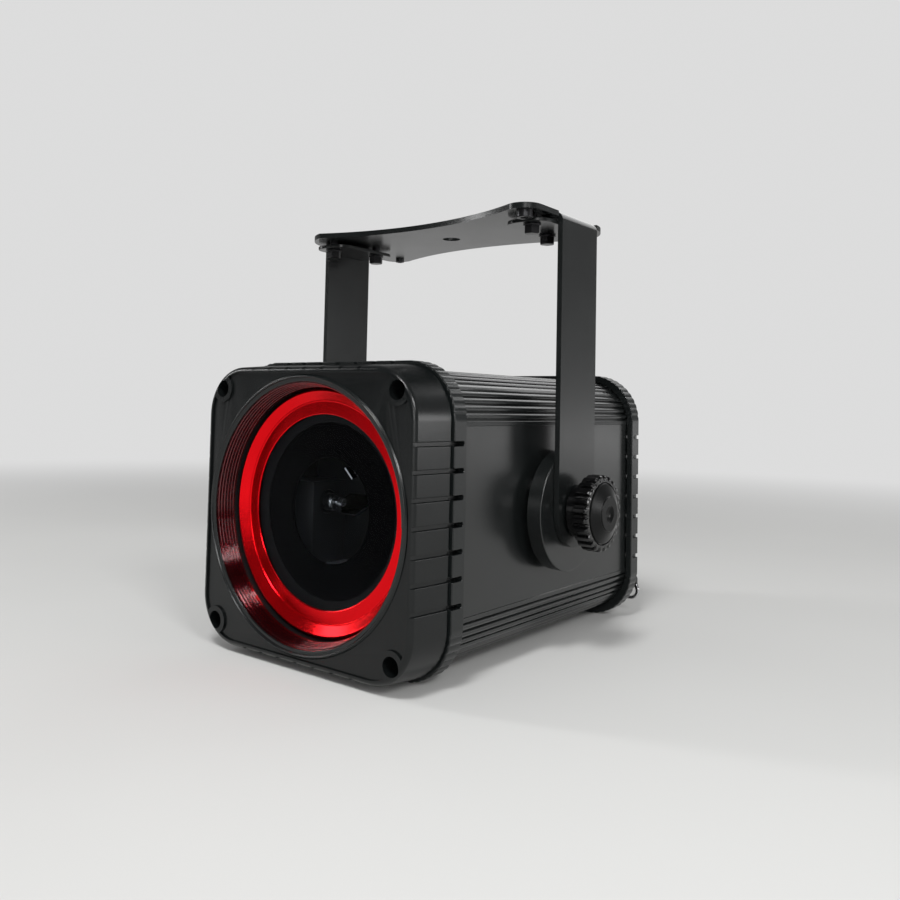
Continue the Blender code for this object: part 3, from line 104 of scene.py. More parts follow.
@dataclass(frozen=True)
class Finish:
    """A finish with its grain, its colour drift and its uneven gloss.

    Lengths of pattern are in millimetres; stretch is the pattern's share of size along X, Y and Z.
    """

    name: str
    colour: Colour
    roughness: float
    metallic: float = 0.0
    specular: float = 0.5
    grain: float = 0.4
    relief: float = 0.0
    drift: float = 0.12
    spread: float = 0.06
    patch: float = 18.0
    stretch: Point3 = (1.0, 1.0, 1.0)
    coat: float = 0.0

    def material(self) -> bpy.types.Material:
        """The finish as a node material, made once.

        Returns:
            The material.
        """
        if self.name in bpy.data.materials and bpy.data.materials[self.name].get("dressed"):
            return bpy.data.materials[self.name]
        made = bpy.data.materials.new(self.name)
        made.use_nodes = True
        made["dressed"] = True
        self.dress(made.node_tree)
        return made

    def dress(self, tree: bpy.types.NodeTree) -> bpy.types.Node:
        """Wire the Principled shader.

        Args:
            tree: the material's own tree.

        Returns:
            The Principled node.
        """
        shader = tree.nodes["Principled BSDF"]
        shader.inputs["Metallic"].default_value = self.metallic
        shader.inputs["Specular IOR Level"].default_value = self.specular
        shader.inputs["Coat Weight"].default_value = self.coat
        place = self.pattern_place(tree)
        patches = noise(tree, place, 1 / (self.patch * MM), 4.0)
        low = tuple(part * (1 - self.drift) for part in self.colour)
        high = tuple(min(1.0, part * (1 + self.drift)) for part in self.colour)
        tint = mix_colour(tree, patches, low, high)
        tree.links.new(tint, shader.inputs["Base Color"])
        fine = noise(tree, place, 1 / (self.grain * MM), 3.0)
        both = tree.nodes.new("ShaderNodeMath")
        both.operation = "MULTIPLY_ADD"
        both.inputs[1].default_value = 0.5
        tree.links.new(fine, both.inputs[0])
        halved = scaled(tree, patches, 0.5)
        tree.links.new(halved, both.inputs[2])
        gloss = remap(tree, both.outputs[0], self.roughness - self.spread, self.roughness + self.spread)
        tree.links.new(gloss, shader.inputs["Roughness"])
        if self.relief:
            tree.links.new(bump(tree, fine, self.relief), shader.inputs["Normal"])
        return shader

    def pattern_place(self, tree: bpy.types.NodeTree) -> bpy.types.NodeSocket:
        """Object coordinates, stretched for brushed finishes."""
        coordinates = tree.nodes.new("ShaderNodeTexCoord")
        mapping = tree.nodes.new("ShaderNodeMapping")
        mapping.inputs["Scale"].default_value = self.stretch
        tree.links.new(coordinates.outputs["Object"], mapping.inputs["Vector"])
        return mapping.outputs["Vector"]


@dataclass(frozen=True)
class TurnedFinish(Finish):
    """A finish with the fine rings that a lathe leaves round the optical axis."""

    ring: float = 0.35
    ring_relief: float = 0.01

    def dress(self, tree: bpy.types.NodeTree) -> bpy.types.Node:
        """Wire the shader, then lay the rings over its relief."""
        shader = super().dress(tree)
        coordinates = tree.nodes.new("ShaderNodeTexCoord")
        centre = tree.nodes.new("ShaderNodeMapping")
        centre.inputs["Location"].default_value = (0.0, 0.0, -HOUSING_SHIFT.z * MM)
        tree.links.new(coordinates.outputs["Object"], centre.inputs["Vector"])
        rings = tree.nodes.new("ShaderNodeTexWave")
        rings.wave_type = "RINGS"
        rings.rings_direction = "Y"
        rings.inputs["Scale"].default_value = FULL_TURN / (WAVE_UNITS * self.ring * MM)
        rings.inputs["Distortion"].default_value = 0.4
        tree.links.new(centre.outputs["Vector"], rings.inputs["Vector"])
        tree.links.new(bump(tree, rings.outputs["Fac"], self.ring_relief), shader.inputs["Normal"])
        return shader


@dataclass(frozen=True)
class GlassFinish(Finish):
    """Clear coated glass: seen straight through, with reflections that grow towards grazing."""

    tint: Colour = (0.80, 0.82, 0.84)
    head_on: float = 0.002

    def dress(self, tree: bpy.types.NodeTree) -> bpy.types.Node:
        """Wire a transparent and a glossy shader, mixed by the angle of sight."""
        tree.nodes.remove(tree.nodes["Principled BSDF"])
        clear = tree.nodes.new("ShaderNodeBsdfTransparent")
        clear.inputs["Color"].default_value = (*self.tint, 1.0)
        gloss = tree.nodes.new("ShaderNodeBsdfGlossy")
        gloss.inputs["Color"].default_value = (*self.colour, 1.0)
        place = self.pattern_place(tree)
        smear = noise(tree, place, 1 / (self.patch * MM), 3.0)
        tree.links.new(
            remap(tree, smear, self.roughness, self.roughness + self.spread), gloss.inputs["Roughness"]
        )
        sight = tree.nodes.new("ShaderNodeLayerWeight")
        sight.inputs["Blend"].default_value = 0.5
        steep = tree.nodes.new("ShaderNodeMath")
        steep.operation = "POWER"
        steep.inputs[1].default_value = 6.0
        tree.links.new(sight.outputs["Facing"], steep.inputs[0])
        level = tree.nodes.new("ShaderNodeMath")
        level.operation = "MULTIPLY_ADD"
        level.inputs[1].default_value = 1.0 - self.head_on
        level.inputs[2].default_value = self.head_on
        tree.links.new(steep.outputs[0], level.inputs[0])
        mixed = tree.nodes.new("ShaderNodeMixShader")
        tree.links.new(level.outputs[0], mixed.inputs[0])
        tree.links.new(clear.outputs[0], mixed.inputs[1])
        tree.links.new(gloss.outputs[0], mixed.inputs[2])
        tree.links.new(mixed.outputs[0], tree.nodes["Material Output"].inputs["Surface"])
        return gloss


def noise(
    tree: bpy.types.NodeTree, place: bpy.types.NodeSocket, scale: float, detail: float
) -> bpy.types.NodeSocket:
    """A noise pattern at a place."""
    made = tree.nodes.new("ShaderNodeTexNoise")
    made.inputs["Scale"].default_value = scale
    made.inputs["Detail"].default_value = detail
    tree.links.new(place, made.inputs["Vector"])
    return made.outputs["Fac"]


def scaled(tree: bpy.types.NodeTree, value: bpy.types.NodeSocket, share: float) -> bpy.types.NodeSocket:
    """A value times a share."""
    node = tree.nodes.new("ShaderNodeMath")
    node.operation = "MULTIPLY"
    node.inputs[1].default_value = share
    tree.links.new(value, node.inputs[0])
    return node.outputs[0]


def remap(
    tree: bpy.types.NodeTree, value: bpy.types.NodeSocket, low: float, high: float
) -> bpy.types.NodeSocket:
    """A pattern between a low and a high value; the pattern's middle half spans the range."""
    node = tree.nodes.new("ShaderNodeMapRange")
    node.inputs["From Min"].default_value, node.inputs["From Max"].default_value = NOISE_MIDDLE
    node.inputs["To Min"].default_value = low
    node.inputs["To Max"].default_value = high
    tree.links.new(value, node.inputs["Value"])
    return node.outputs["Result"]


def mix_colour(
    tree: bpy.types.NodeTree, share: bpy.types.NodeSocket, low: Colour, high: Colour
) -> bpy.types.NodeSocket:
    """A colour between two, by a pattern."""
    ramp = tree.nodes.new("ShaderNodeValToRGB")
    ramp.color_ramp.elements[0].position, ramp.color_ramp.elements[1].position = NOISE_MIDDLE
    ramp.color_ramp.elements[0].color = (*low, 1.0)
    ramp.color_ramp.elements[1].color = (*high, 1.0)
    tree.links.new(share, ramp.inputs["Fac"])
    return ramp.outputs["Color"]


def bump(tree: bpy.types.NodeTree, height: bpy.types.NodeSocket, depth: float) -> bpy.types.NodeSocket:
    """A relief of the given depth in millimetres."""
    node = tree.nodes.new("ShaderNodeBump")
    node.inputs["Strength"].default_value = 1.0
    node.inputs["Distance"].default_value = depth * MM
    tree.links.new(height, node.inputs["Height"])
    return node.outputs["Normal"]


CAST_BLACK = Finish(
    "cast_black_coat", (0.0065, 0.0080, 0.0080), 0.24, specular=0.40, grain=0.55, relief=0.012, spread=0.03
)
FACE_BLACK = Finish(
    "grained_face_coat", (0.0048, 0.0058, 0.0059), 0.25, specular=0.32, grain=0.45, relief=0.016, spread=0.03
)
BODY_BLACK = Finish(
    "anodised_body", (0.0066, 0.0078, 0.0078), 0.24, specular=0.60, grain=0.3, relief=0.003, spread=0.03
)
STRAP_BLACK = Finish(
    "coated_strap", (0.0070, 0.0082, 0.0082), 0.24, specular=0.42, grain=0.6, relief=0.008, spread=0.03
)
DARK_ANODISED = Finish("dark_anodised", (0.012, 0.012, 0.013), 0.38, metallic=0.3, grain=0.8, relief=0.01)
# Dark red metal for the bore's thread: a painted reflection of the red ring, on a bore that is itself black
# coat.
THREAD_RED_REFLECTION = Finish(
    "thread_painted_red_reflection", (0.085, 0.002, 0.005), 0.17,
    metallic=0.9, specular=0.6, grain=0.5, coat=1.0, drift=0.2, spread=0.03,
)
RUBBER = Finish("seal_rubber", (0.010, 0.010, 0.010), 0.80, specular=0.25, grain=0.9, relief=0.02)
RED = TurnedFinish(
    "red_anodised_ring", (0.88, 0.003, 0.008), 0.22, metallic=0.9, specular=0.5, drift=0.03, spread=0.02
)
GLASS = GlassFinish("window_coating", (1.0, 1.0, 1.0), 0.01, spread=0.015, patch=30.0)
MASK = Finish("mask_matt", (0.0012, 0.0012, 0.0014), 0.5, specular=0.0, grain=4.0, patch=40.0, spread=0.02)
BLACK_STEEL = Finish("blackened_steel", (0.035, 0.035, 0.037), 0.30, metallic=0.85, grain=0.5, relief=0.01)
ALUMINIUM = Finish(
    "brushed_aluminium", (0.70, 0.70, 0.71), 0.34, metallic=1.0, grain=1.2, relief=0.01,
    stretch=(1.0, 0.06, 1.0), drift=0.05,
)
MIRROR = Finish("mirror_coating", (0.92, 0.92, 0.93), 0.03, metallic=1.0, spread=0.01, drift=0.02)
BOARD = Finish("board_green", (0.015, 0.13, 0.05), 0.45, grain=0.8, relief=0.02)
KNOB_GLOSS = Finish(
    "gloss_phenolic", (0.002, 0.002, 0.0022), 0.12, specular=0.55, grain=0.5, relief=0.003, spread=0.02
)
KNOB_MATT = Finish(
    "matt_cap", (0.0030, 0.0033, 0.0033), 0.30, specular=0.14, grain=0.35, relief=0.01, spread=0.03
)
MOULDED = Finish("moulded_black", (0.016, 0.016, 0.017), 0.42, grain=0.3, relief=0.01)
PLATED = Finish("nickel_plate", (0.60, 0.60, 0.61), 0.26, metallic=1.0, grain=0.6, relief=0.004, drift=0.06)
CONTACT = Finish("gilt_contact", (0.80, 0.58, 0.25), 0.25, metallic=1.0, grain=0.4, drift=0.05)
LAMP_RED = Finish("lamp_lens", (0.45, 0.012, 0.012), 0.16, specular=0.6, coat=0.3)
SCREEN = Finish("screen_gloss", (0.012, 0.016, 0.020), 0.10, specular=0.5, spread=0.03, coat=0.5)
KEY_RUBBER = Finish("key_cap_rubber", (0.05, 0.05, 0.052), 0.62, specular=0.3, grain=0.4, relief=0.02)


# Shapes in millimetres


def loft(
    shape: bmesh.types.BMesh, loops: Sequence[Sequence[Point3]], ring: bool = False, capped: bool = False
) -> list[list[bmesh.types.BMVert]]:
    """Skin equal loops of points.

    Args:
        shape: the mesh to add to.
        loops: loops with the same number of points.
        ring: join the last loop to the first.
        capped: close both end loops.

    Returns:
        The new vertices, loop by loop.
    """
    rows = [[shape.verts.new(point) for point in loop] for loop in loops]
    pairs = list(zip(rows, rows[1:] + rows[:1])) if ring else list(zip(rows, rows[1:]))
    for near, far in pairs:
        for index, here in enumerate(near):
            after = (index + 1) % len(near)
            shape.faces.new((here, near[after], far[after], far[index]))
    if capped:
        shape.faces.new(rows[0])
        shape.faces.new(rows[-1])
    return rows


def circle(radius: float, steps: int) -> list[Point2]:
    """Points round a circle."""
    return [
        (radius * math.cos(FULL_TURN * i / steps), radius * math.sin(FULL_TURN * i / steps))
        for i in range(steps)
    ]


def lathe(
    shape: bmesh.types.BMesh,
    profile: Sequence[Point2],
    axis: Axis,
    centre: Point3 = (0.0, 0.0, 0.0),
    steps: int = 64,
    ring: bool = False,
    capped: bool = True,
) -> None:
    """Turn (radius, along) points about an axis.

    Args:
        shape: the mesh to add to.
        profile: the section.
        axis: the axis it turns about.
        centre: a point on the axis.
        steps: facets round the circle.
        ring: the section is closed and doesn't reach the axis.
        capped: close both ends of an open section.
    """
    loops = []
    for radius, along in profile:
        loops.append([tuple(Vector(axis.spot(p, along)) + Vector(centre)) for p in circle(radius, steps)])
    loft(shape, loops, ring, capped and not ring)


def arc(centre: Point2, radius: float, start: float, end: float, steps: int) -> list[Point2]:
    """Points along an arc, both ends included."""
    turns = [start + (end - start) * i / steps for i in range(steps + 1)]
    return [(centre[0] + radius * math.cos(t), centre[1] + radius * math.sin(t)) for t in turns]


def eased(points: Sequence[Point2], radius: float, steps: int = 3, closed: bool = True) -> list[Point2]:
    """Round the corners of a section.

    Args:
        points: the section's corners.
        radius: how far from each corner the rounding starts, at most a third of an edge.
        steps: segments in each corner.
        closed: the section's ends meet.

    Returns:
        The finer section.
    """
    count = len(points)
    result: list[Point2] = []
    for index, point in enumerate(points):
        if not closed and index in (0, count - 1):
            result.append(tuple(point))
            continue
        here = Vector(point)
        before = Vector(points[index - 1]) - here
        after = Vector(points[(index + 1) % count]) - here
        reach = min(radius, before.length / 3, after.length / 3)
        start = here + before.normalized() * reach
        end = here + after.normalized() * reach
        for step in range(steps + 1):
            share = step / steps
            spot = start * (1 - share) ** 2 + here * 2 * share * (1 - share) + end * share**2
            result.append((spot.x, spot.y))
    return result


def rounded_rectangle(
    half_x: float, half_z: float, radius: float, steps: int = 12, centre: Point2 = (0.0, 0.0)
) -> list[Point2]:
    """Outline of a rectangle with round corners."""
    points = []
    for quarter, (sx, sz) in enumerate(((1, 1), (-1, 1), (-1, -1), (1, -1))):
        corner = (centre[0] + sx * (half_x - radius), centre[1] + sz * (half_z - radius))
        points += arc(corner, radius, quarter * QUARTER, (quarter + 1) * QUARTER, steps)
    return points


def on_y(points: Iterable[Point2], y: float) -> list[Point3]:
    """Lift an outline of (x, z) points to the plane at y."""
    return [(x, y, z) for x, z in points]


def plate(
    shape: bmesh.types.BMesh,
    outline: Callable[[float], Sequence[Point2]],
    near: float,
    far: float,
    edge: float,
    steps: int = 3,
) -> None:
    """A plate across Y with round edges at both faces.

    Args:
        shape: the mesh to add to.
        outline: gives the outline for an inset.
        near: the first face's y.
        far: the second face's y.
        edge: the edges' radius.
        steps: segments in each edge.
    """
    loops = []
    for i in range(steps + 1):
        turn = QUARTER * i / steps
        loops.append(on_y(outline(edge * (1 - math.sin(turn))), near + edge * (1 - math.cos(turn))))
    for i in range(steps, -1, -1):
        turn = QUARTER * i / steps
        loops.append(on_y(outline(edge * (1 - math.sin(turn))), far - edge * (1 - math.cos(turn))))
    loft(shape, loops, capped=True)


def box(shape: bmesh.types.BMesh, low: Point3, high: Point3) -> None:
    """A box between two opposite corners."""
    outline = [(low[0], low[2]), (high[0], low[2]), (high[0], high[2]), (low[0], high[2])]
    loft(shape, [on_y(outline, low[1]), on_y(outline, high[1])], capped=True)


def fill_face(shape: bmesh.types.BMesh, loops: Iterable[Sequence[bmesh.types.BMVert]]) -> None:
    """Fill a flat region across Y between loops of vertices; the first is its rim, the rest are holes."""
    kept = [list(loop) for loop in loops]
    flat = [[Vector((vert.co.x, vert.co.z, 0.0)) for vert in loop] for loop in kept]
    verts = [vert for loop in kept for vert in loop]
    for triple in tessellate_polygon(flat):
        corners = [verts[index] for index in triple]
        if len(set(corners)) == 3 and not shape.faces.get(corners):
            shape.faces.new(corners)


# Geometry Nodes


class Recipe:
    """A Geometry Nodes tree that is built step by step, with named inputs."""

    def __init__(self, name: str) -> None:
        """Start a tree with geometry in, geometry out and a finish."""
        self.tree = bpy.data.node_groups.new(name, "GeometryNodeTree")
        self.tree.interface.new_socket("Geometry", in_out="INPUT", socket_type="NodeSocketGeometry")
        self.tree.interface.new_socket("Finish", in_out="INPUT", socket_type="NodeSocketMaterial")
        self.tree.interface.new_socket("Geometry", in_out="OUTPUT", socket_type="NodeSocketGeometry")
        self.start = self.tree.nodes.new("NodeGroupInput")
        self.end = self.tree.nodes.new("NodeGroupOutput")

    def size(self, name: str, kind: str, value: float | int | Point3) -> None:
        """Add a named input."""
        socket = self.tree.interface.new_socket(name, in_out="INPUT", socket_type=f"NodeSocket{kind}")
        socket.default_value = value

    def given(self, name: str) -> bpy.types.NodeSocket:
        """The group input of that name."""
        return self.start.outputs[name]

    def add(self, kind: str, links: dict[str | int, object], **settings: object) -> bpy.types.Node:
        """Add a node.

        Args:
            kind: the node's type name.
            links: for each input, by name or number, the socket or value that it takes.
            settings: the node's own properties.

        Returns:
            The node.
        """
        node = self.tree.nodes.new(kind)
        for name, value in settings.items():
            setattr(node, name, value)
        for key, value in links.items():
            if isinstance(value, bpy.types.NodeSocket):
                self.tree.links.new(value, node.inputs[key])
            else:
                node.inputs[key].default_value = value
        return node

    def close(self, geometry: bpy.types.NodeSocket) -> bpy.types.NodeTree:
        """End the tree in Realize Instances and Set Material."""
        real = self.add("GeometryNodeRealizeInstances", {"Geometry": geometry})
        dressed = self.add(
            "GeometryNodeSetMaterial", {"Geometry": real.outputs[0], "Material": self.given("Finish")}
        )
        self.tree.links.new(dressed.outputs[0], self.end.inputs[0])
        return self.tree


def copies_recipe() -> bpy.types.NodeTree:
    """Copies of a shape in a row, and that row in turn round the origin."""
    recipe = Recipe("copies_in_rows")
    recipe.size("Row Count", "Int", 1)
    recipe.size("Row Start", "Vector", (0.0, 0.0, 0.0))
    recipe.size("Row Shift", "Vector", (0.0, 0.0, 0.0))
    recipe.size("Row First Turn", "Vector", (0.0, 0.0, 0.0))
    recipe.size("Row Turn", "Vector", (0.0, 0.0, 0.0))
    recipe.size("Ring Count", "Int", 1)
    recipe.size("Ring Turn", "Vector", (0.0, 0.0, 0.0))
    index = recipe.add("GeometryNodeInputIndex", {}).outputs[0]

    def stepped(step: str, first: str | None) -> bpy.types.NodeSocket:
        """The index times a step, from a first value."""
        times = recipe.add("ShaderNodeVectorMath", {0: recipe.given(step), "Scale": index}, operation="SCALE")
        if first is None:
            return times.outputs[0]
        total = recipe.add(
            "ShaderNodeVectorMath", {0: recipe.given(first), 1: times.outputs[0]}, operation="ADD"
        )
        return total.outputs[0]

    row = recipe.add(
        "GeometryNodePoints",
        {"Count": recipe.given("Row Count"), "Position": stepped("Row Shift", "Row Start")},
    )
    turn = recipe.add("FunctionNodeEulerToRotation", {0: stepped("Row Turn", "Row First Turn")})
    along = recipe.add(
        "GeometryNodeInstanceOnPoints",
        {"Points": row.outputs[0], "Instance": recipe.given("Geometry"), "Rotation": turn.outputs[0]},
    )
    real = recipe.add("GeometryNodeRealizeInstances", {"Geometry": along.outputs[0]})
    hub = recipe.add("GeometryNodePoints", {"Count": recipe.given("Ring Count")})
    swing = recipe.add("FunctionNodeEulerToRotation", {0: stepped("Ring Turn", None)})
    around = recipe.add(
        "GeometryNodeInstanceOnPoints",
        {"Points": hub.outputs[0], "Instance": real.outputs[0], "Rotation": swing.outputs[0]},
    )
    return recipe.close(around.outputs[0])


def thread_recipe() -> bpy.types.NodeTree:
    """The ridge of a screw thread, swept along a tapering helix about Y."""
    recipe = Recipe("thread_ridge")
    recipe.size("Turns", "Float", 6.0)
    recipe.size("Start Radius", "Float", 10.0)
    recipe.size("End Radius", "Float", 10.0)
    recipe.size("Length", "Float", 5.0)
    recipe.size("Ridge", "Float", 0.3)
    recipe.size("Start", "Float", 0.0)
    helix = recipe.add(
        "GeometryNodeCurveSpiral",
        {
            "Resolution": 144,
            "Rotations": recipe.given("Turns"),
            "Start Radius": recipe.given("Start Radius"),
            "End Radius": recipe.given("End Radius"),
            "Height": recipe.given("Length"),
        },
    )
    section = recipe.add(
        "GeometryNodeCurvePrimitiveCircle", {"Resolution": 6, "Radius": recipe.given("Ridge")}, mode="RADIUS"
    )
    swept = recipe.add(
        "GeometryNodeCurveToMesh",
        {"Curve": helix.outputs[0], "Profile Curve": section.outputs[0], "Fill Caps": True},
    )
    place = recipe.add("ShaderNodeCombineXYZ", {"Y": recipe.given("Start")})
    laid = recipe.add(
        "GeometryNodeTransform",
        {"Geometry": swept.outputs[0], "Rotation": (-QUARTER, 0.0, 0.0), "Translation": place.outputs[0]},
    )
    return recipe.close(laid.outputs[0])


def flutes_recipe() -> bpy.types.NodeTree:
    """Round-bottomed flutes pressed into the rim of a shape turned about X."""
    recipe = Recipe("fluted_rim")
    recipe.size("Flutes", "Float", 24.0)
    recipe.size("Depth", "Float", 1.0)
    recipe.size("Rim From", "Float", 17.0)
    recipe.size("Rim To", "Float", 19.0)
    spot = recipe.add("GeometryNodeInputPosition", {}).outputs[0]
    apart = recipe.add("ShaderNodeSeparateXYZ", {0: spot})
    angle = recipe.add(
        "ShaderNodeMath", {0: apart.outputs[2], 1: apart.outputs[1]}, operation="ARCTAN2"
    ).outputs[0]
    phase = recipe.add(
        "ShaderNodeMath", {0: angle, 1: recipe.given("Flutes")}, operation="MULTIPLY"
    ).outputs[0]
    wave = recipe.add("ShaderNodeMath", {0: phase}, operation="COSINE").outputs[0]
    hollow = recipe.add(
        "ShaderNodeMapRange",
        {"Value": wave, "From Min": -0.45, "From Max": 0.6, "To Min": 0.0, "To Max": 1.0},
        interpolation_type="SMOOTHSTEP",
    ).outputs[0]
    flat = recipe.add("ShaderNodeCombineXYZ", {1: apart.outputs[1], 2: apart.outputs[2]}).outputs[0]
    radius = recipe.add("ShaderNodeVectorMath", {0: flat}, operation="LENGTH").outputs["Value"]
    rim = recipe.add(
        "ShaderNodeMapRange",
        {
            "Value": radius,
            "From Min": recipe.given("Rim From"),
            "From Max": recipe.given("Rim To"),
            "To Min": 0.0,
            "To Max": recipe.given("Depth"),
        },
    ).outputs[0]
    inward = recipe.add("ShaderNodeMath", {0: rim, 1: hollow}, operation="MULTIPLY").outputs[0]
    back = recipe.add("ShaderNodeMath", {0: inward, 1: -1.0}, operation="MULTIPLY").outputs[0]
    outward = recipe.add("ShaderNodeVectorMath", {0: flat}, operation="NORMALIZE").outputs[0]
    offset = recipe.add("ShaderNodeVectorMath", {0: outward, "Scale": back}, operation="SCALE").outputs[0]
    moved = recipe.add(
        "GeometryNodeSetPosition", {"Geometry": recipe.given("Geometry"), "Offset": offset}
    )
    return recipe.close(moved.outputs[0])


class Nodes:
    """The trees that the pieces share."""

    copies: bpy.types.NodeTree
    thread: bpy.types.NodeTree
    flutes: bpy.types.NodeTree

    @classmethod
    def build(cls) -> None:
        """Build each tree once."""
        cls.copies = copies_recipe()
        cls.thread = thread_recipe()
        cls.flutes = flutes_recipe()


# Workpieces


class Workpiece:
    """A piece on the bench: a mesh in millimetres that is shaped, dressed and then handed over."""

    def __init__(self, name: str, shape: bmesh.types.BMesh | None = None, weld: bool = True) -> None:
        """Put a shape on the bench.

        Args:
            name: the piece's name.
            shape: its mesh, which is freed; none for a piece that a node tree makes whole.
            weld: merge doubled points first.
        """
        mesh = bpy.data.meshes.new(name)
        if shape is not None:
            if weld:
                bmesh.ops.remove_doubles(shape, verts=shape.verts, dist=0.002)
            bmesh.ops.recalc_face_normals(shape, faces=shape.faces)
            shape.to_mesh(mesh)
            shape.free()
        self.thing = bpy.data.objects.new(name, mesh)
        bpy.context.scene.collection.objects.link(self.thing)

    def bake(self) -> None:
        """Turn what the modifiers show into the plain mesh."""
        graph = bpy.context.evaluated_depsgraph_get()
        mesh = bpy.data.meshes.new_from_object(self.thing.evaluated_get(graph))
        self.thing.modifiers.clear()
        old = self.thing.data
        self.thing.data = mesh
        bpy.data.meshes.remove(old)
        mesh.name = self.thing.name

    def grow(self, tree: bpy.types.NodeTree, finish: Finish, **sizes: object) -> Workpiece:
        """Run a node tree on the piece.

        Args:
            tree: the tree.
            finish: what its faces are dressed in.
            sizes: the tree's inputs by name, with underscores for spaces.

        Returns:
            The same piece.
        """
        step = self.thing.modifiers.new(tree.name, "NODES")
        step.node_group = tree
        values = {key.replace("_", " ").lower(): value for key, value in sizes.items()}
        values["finish"] = finish.material()
        for item in tree.interface.items_tree:
            if item.item_type == "SOCKET" and item.in_out == "INPUT" and item.name.lower() in values:
                step[item.identifier] = values[item.name.lower()]
        self.bake()
        return self

    def mirrored(self) -> Workpiece:
        """A copy of the piece on the other side of x = 0, turned right side out."""
        shape = bmesh.new()
        shape.from_mesh(self.thing.data)
        bmesh.ops.scale(shape, vec=(-1.0, 1.0, 1.0), verts=shape.verts)
        return Workpiece(self.thing.name + "_mirrored", shape, weld=False)

    def cut(self, *tools: Workpiece) -> Workpiece:
        """Cut the piece with tools, which are used up."""
        for tool in tools:
            step = self.thing.modifiers.new("cut", "BOOLEAN")
            step.operation = "DIFFERENCE"
            step.solver = "EXACT"
            step.object = tool.thing
        self.bake()
        for tool in tools:
            mesh = tool.thing.data
            bpy.data.objects.remove(tool.thing)
            bpy.data.meshes.remove(mesh)
        return self

    def flatten(self, angle: float = 0.5) -> Workpiece:
        """Merge faces that lie in one plane, so that no short edge holds a bevel back."""
        shape = bmesh.new()
        shape.from_mesh(self.thing.data)
        bmesh.ops.remove_doubles(shape, verts=shape.verts, dist=0.01)
        bmesh.ops.dissolve_limit(
            shape, angle_limit=math.radians(angle), verts=shape.verts, edges=shape.edges,
            use_dissolve_boundaries=False,
        )
        shape.to_mesh(self.thing.data)
        shape.free()
        return self

    def ease(self, width: float, segments: int = 2, angle: float = 35.0) -> Workpiece:
        """Round every edge sharper than an angle."""
        step = self.thing.modifiers.new("ease", "BEVEL")
        step.width = width
        step.segments = segments
        step.limit_method = "ANGLE"
        step.angle_limit = math.radians(angle)
        step.use_clamp_overlap = True
        step.miter_outer = "MITER_ARC"
        self.bake()
        return self

    def hand_over(
        self,
        body: Body | str,
        slot: str,
        finish: Finish,
        replaces: Iterable[str] = (),
        sharp: float = 38.0,
        settled: bool = False,
    ) -> bpy.types.Object:
        """Move the piece to the row's frame, dress it and mount it.

        Args:
            body: the body it rides on.
            slot: the record's material slot; not used.
            finish: its look.
            replaces: CAD nodes that it stands for.
            sharp: the angle in degrees from which an edge stays sharp.
            settled: lay the shading normals flat on the wide faces.

        Returns:
            The finished object.
        """
        mesh = self.thing.data
        mesh.shade_smooth()
        mesh.set_sharp_from_angle(angle=math.radians(sharp))
        weigh = self.thing.modifiers.new("weigh", "WEIGHTED_NORMAL")
        weigh.keep_sharp = True
        weigh.weight = 60
        self.bake()
        mesh = self.thing.data
        mesh.transform(TO_ROW)
        mesh.materials.clear()
        mesh.materials.append(finish.material())
        for polygon in mesh.polygons:
            polygon.material_index = 0
        if settled:
            self.settle_normals(mesh)
        name = body.value if isinstance(body, Body) else body
        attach(self.thing, name)
        nodes = list(replaces)
        if nodes:
            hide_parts(*nodes)
        LOG.info("%s: %d faces on %s", self.thing.name, len(mesh.polygons), name)
        return self.thing

    @staticmethod
    def settle_normals(mesh: bpy.types.Mesh, reach: float = 50.0, sliver: float = 1e-10) -> None:
        """Shade each corner by the area-weighted mean of the faces round it that lie within an angle.

        Args:
            mesh: the mesh.
            reach: the angle in degrees.
            sliver: the area in square metres below which a face has no say of its own.
        """
        limit = math.cos(math.radians(reach))
        faces = [(face.normal.copy(), face.area) for face in mesh.polygons]
        around: list[list[int]] = [[] for _ in mesh.vertices]
        for face in mesh.polygons:
            for vertex in face.vertices:
                around[vertex].append(face.index)
        corners = []
        for face in mesh.polygons:
            own, size = faces[face.index]
            for vertex in face.vertices:
                total = Vector()
                for normal, area in (faces[other] for other in around[vertex]):
                    if normal.dot(own) > limit or size < sliver:
                        total += normal * area
                corners.append((total if total.length > 0 else own).normalized())
        mesh.normals_split_custom_set(corners)


def turned_piece(name: str, profile: Sequence[Point2], axis: Axis, **options: object) -> Workpiece:
    """A piece that is one turned section."""
    shape = bmesh.new()
    lathe(shape, profile, axis, **options)
    return Workpiece(name, shape)


def rod(axis: Axis, radius: float, start: float, end: float, centre: Point3, steps: int = 48) -> Workpiece:
    """A round cutter."""
    return turned_piece("cutter", [(radius, start), (radius, end)], axis, centre=centre, steps=steps)


# Housing


@dataclass
class Layout:
    """Places that several pieces share."""

    corner_centre: float = 49.0
    screw_x: float = 63.5
    collar_y: float = 25.5
    collar_depth: float = 10.0
    housing_depth: float = 230.0
    body_half: float = 75.0
    body_corner: float = 28.8
    rib_first: float = math.radians(7.2)
    rib_pitch: float = math.radians(8.4)
    rib_grooves: int = 10
    cover_y: float = 231.5
    cover_face: float = 236.5
    pivot_y: float = 124.3

    def corners(self) -> list[Point2]:
        """The four screw places as (x, z)."""
        reach = self.screw_x
        return [(reach, reach), (-reach, reach), (-reach, -reach), (reach, -reach)]


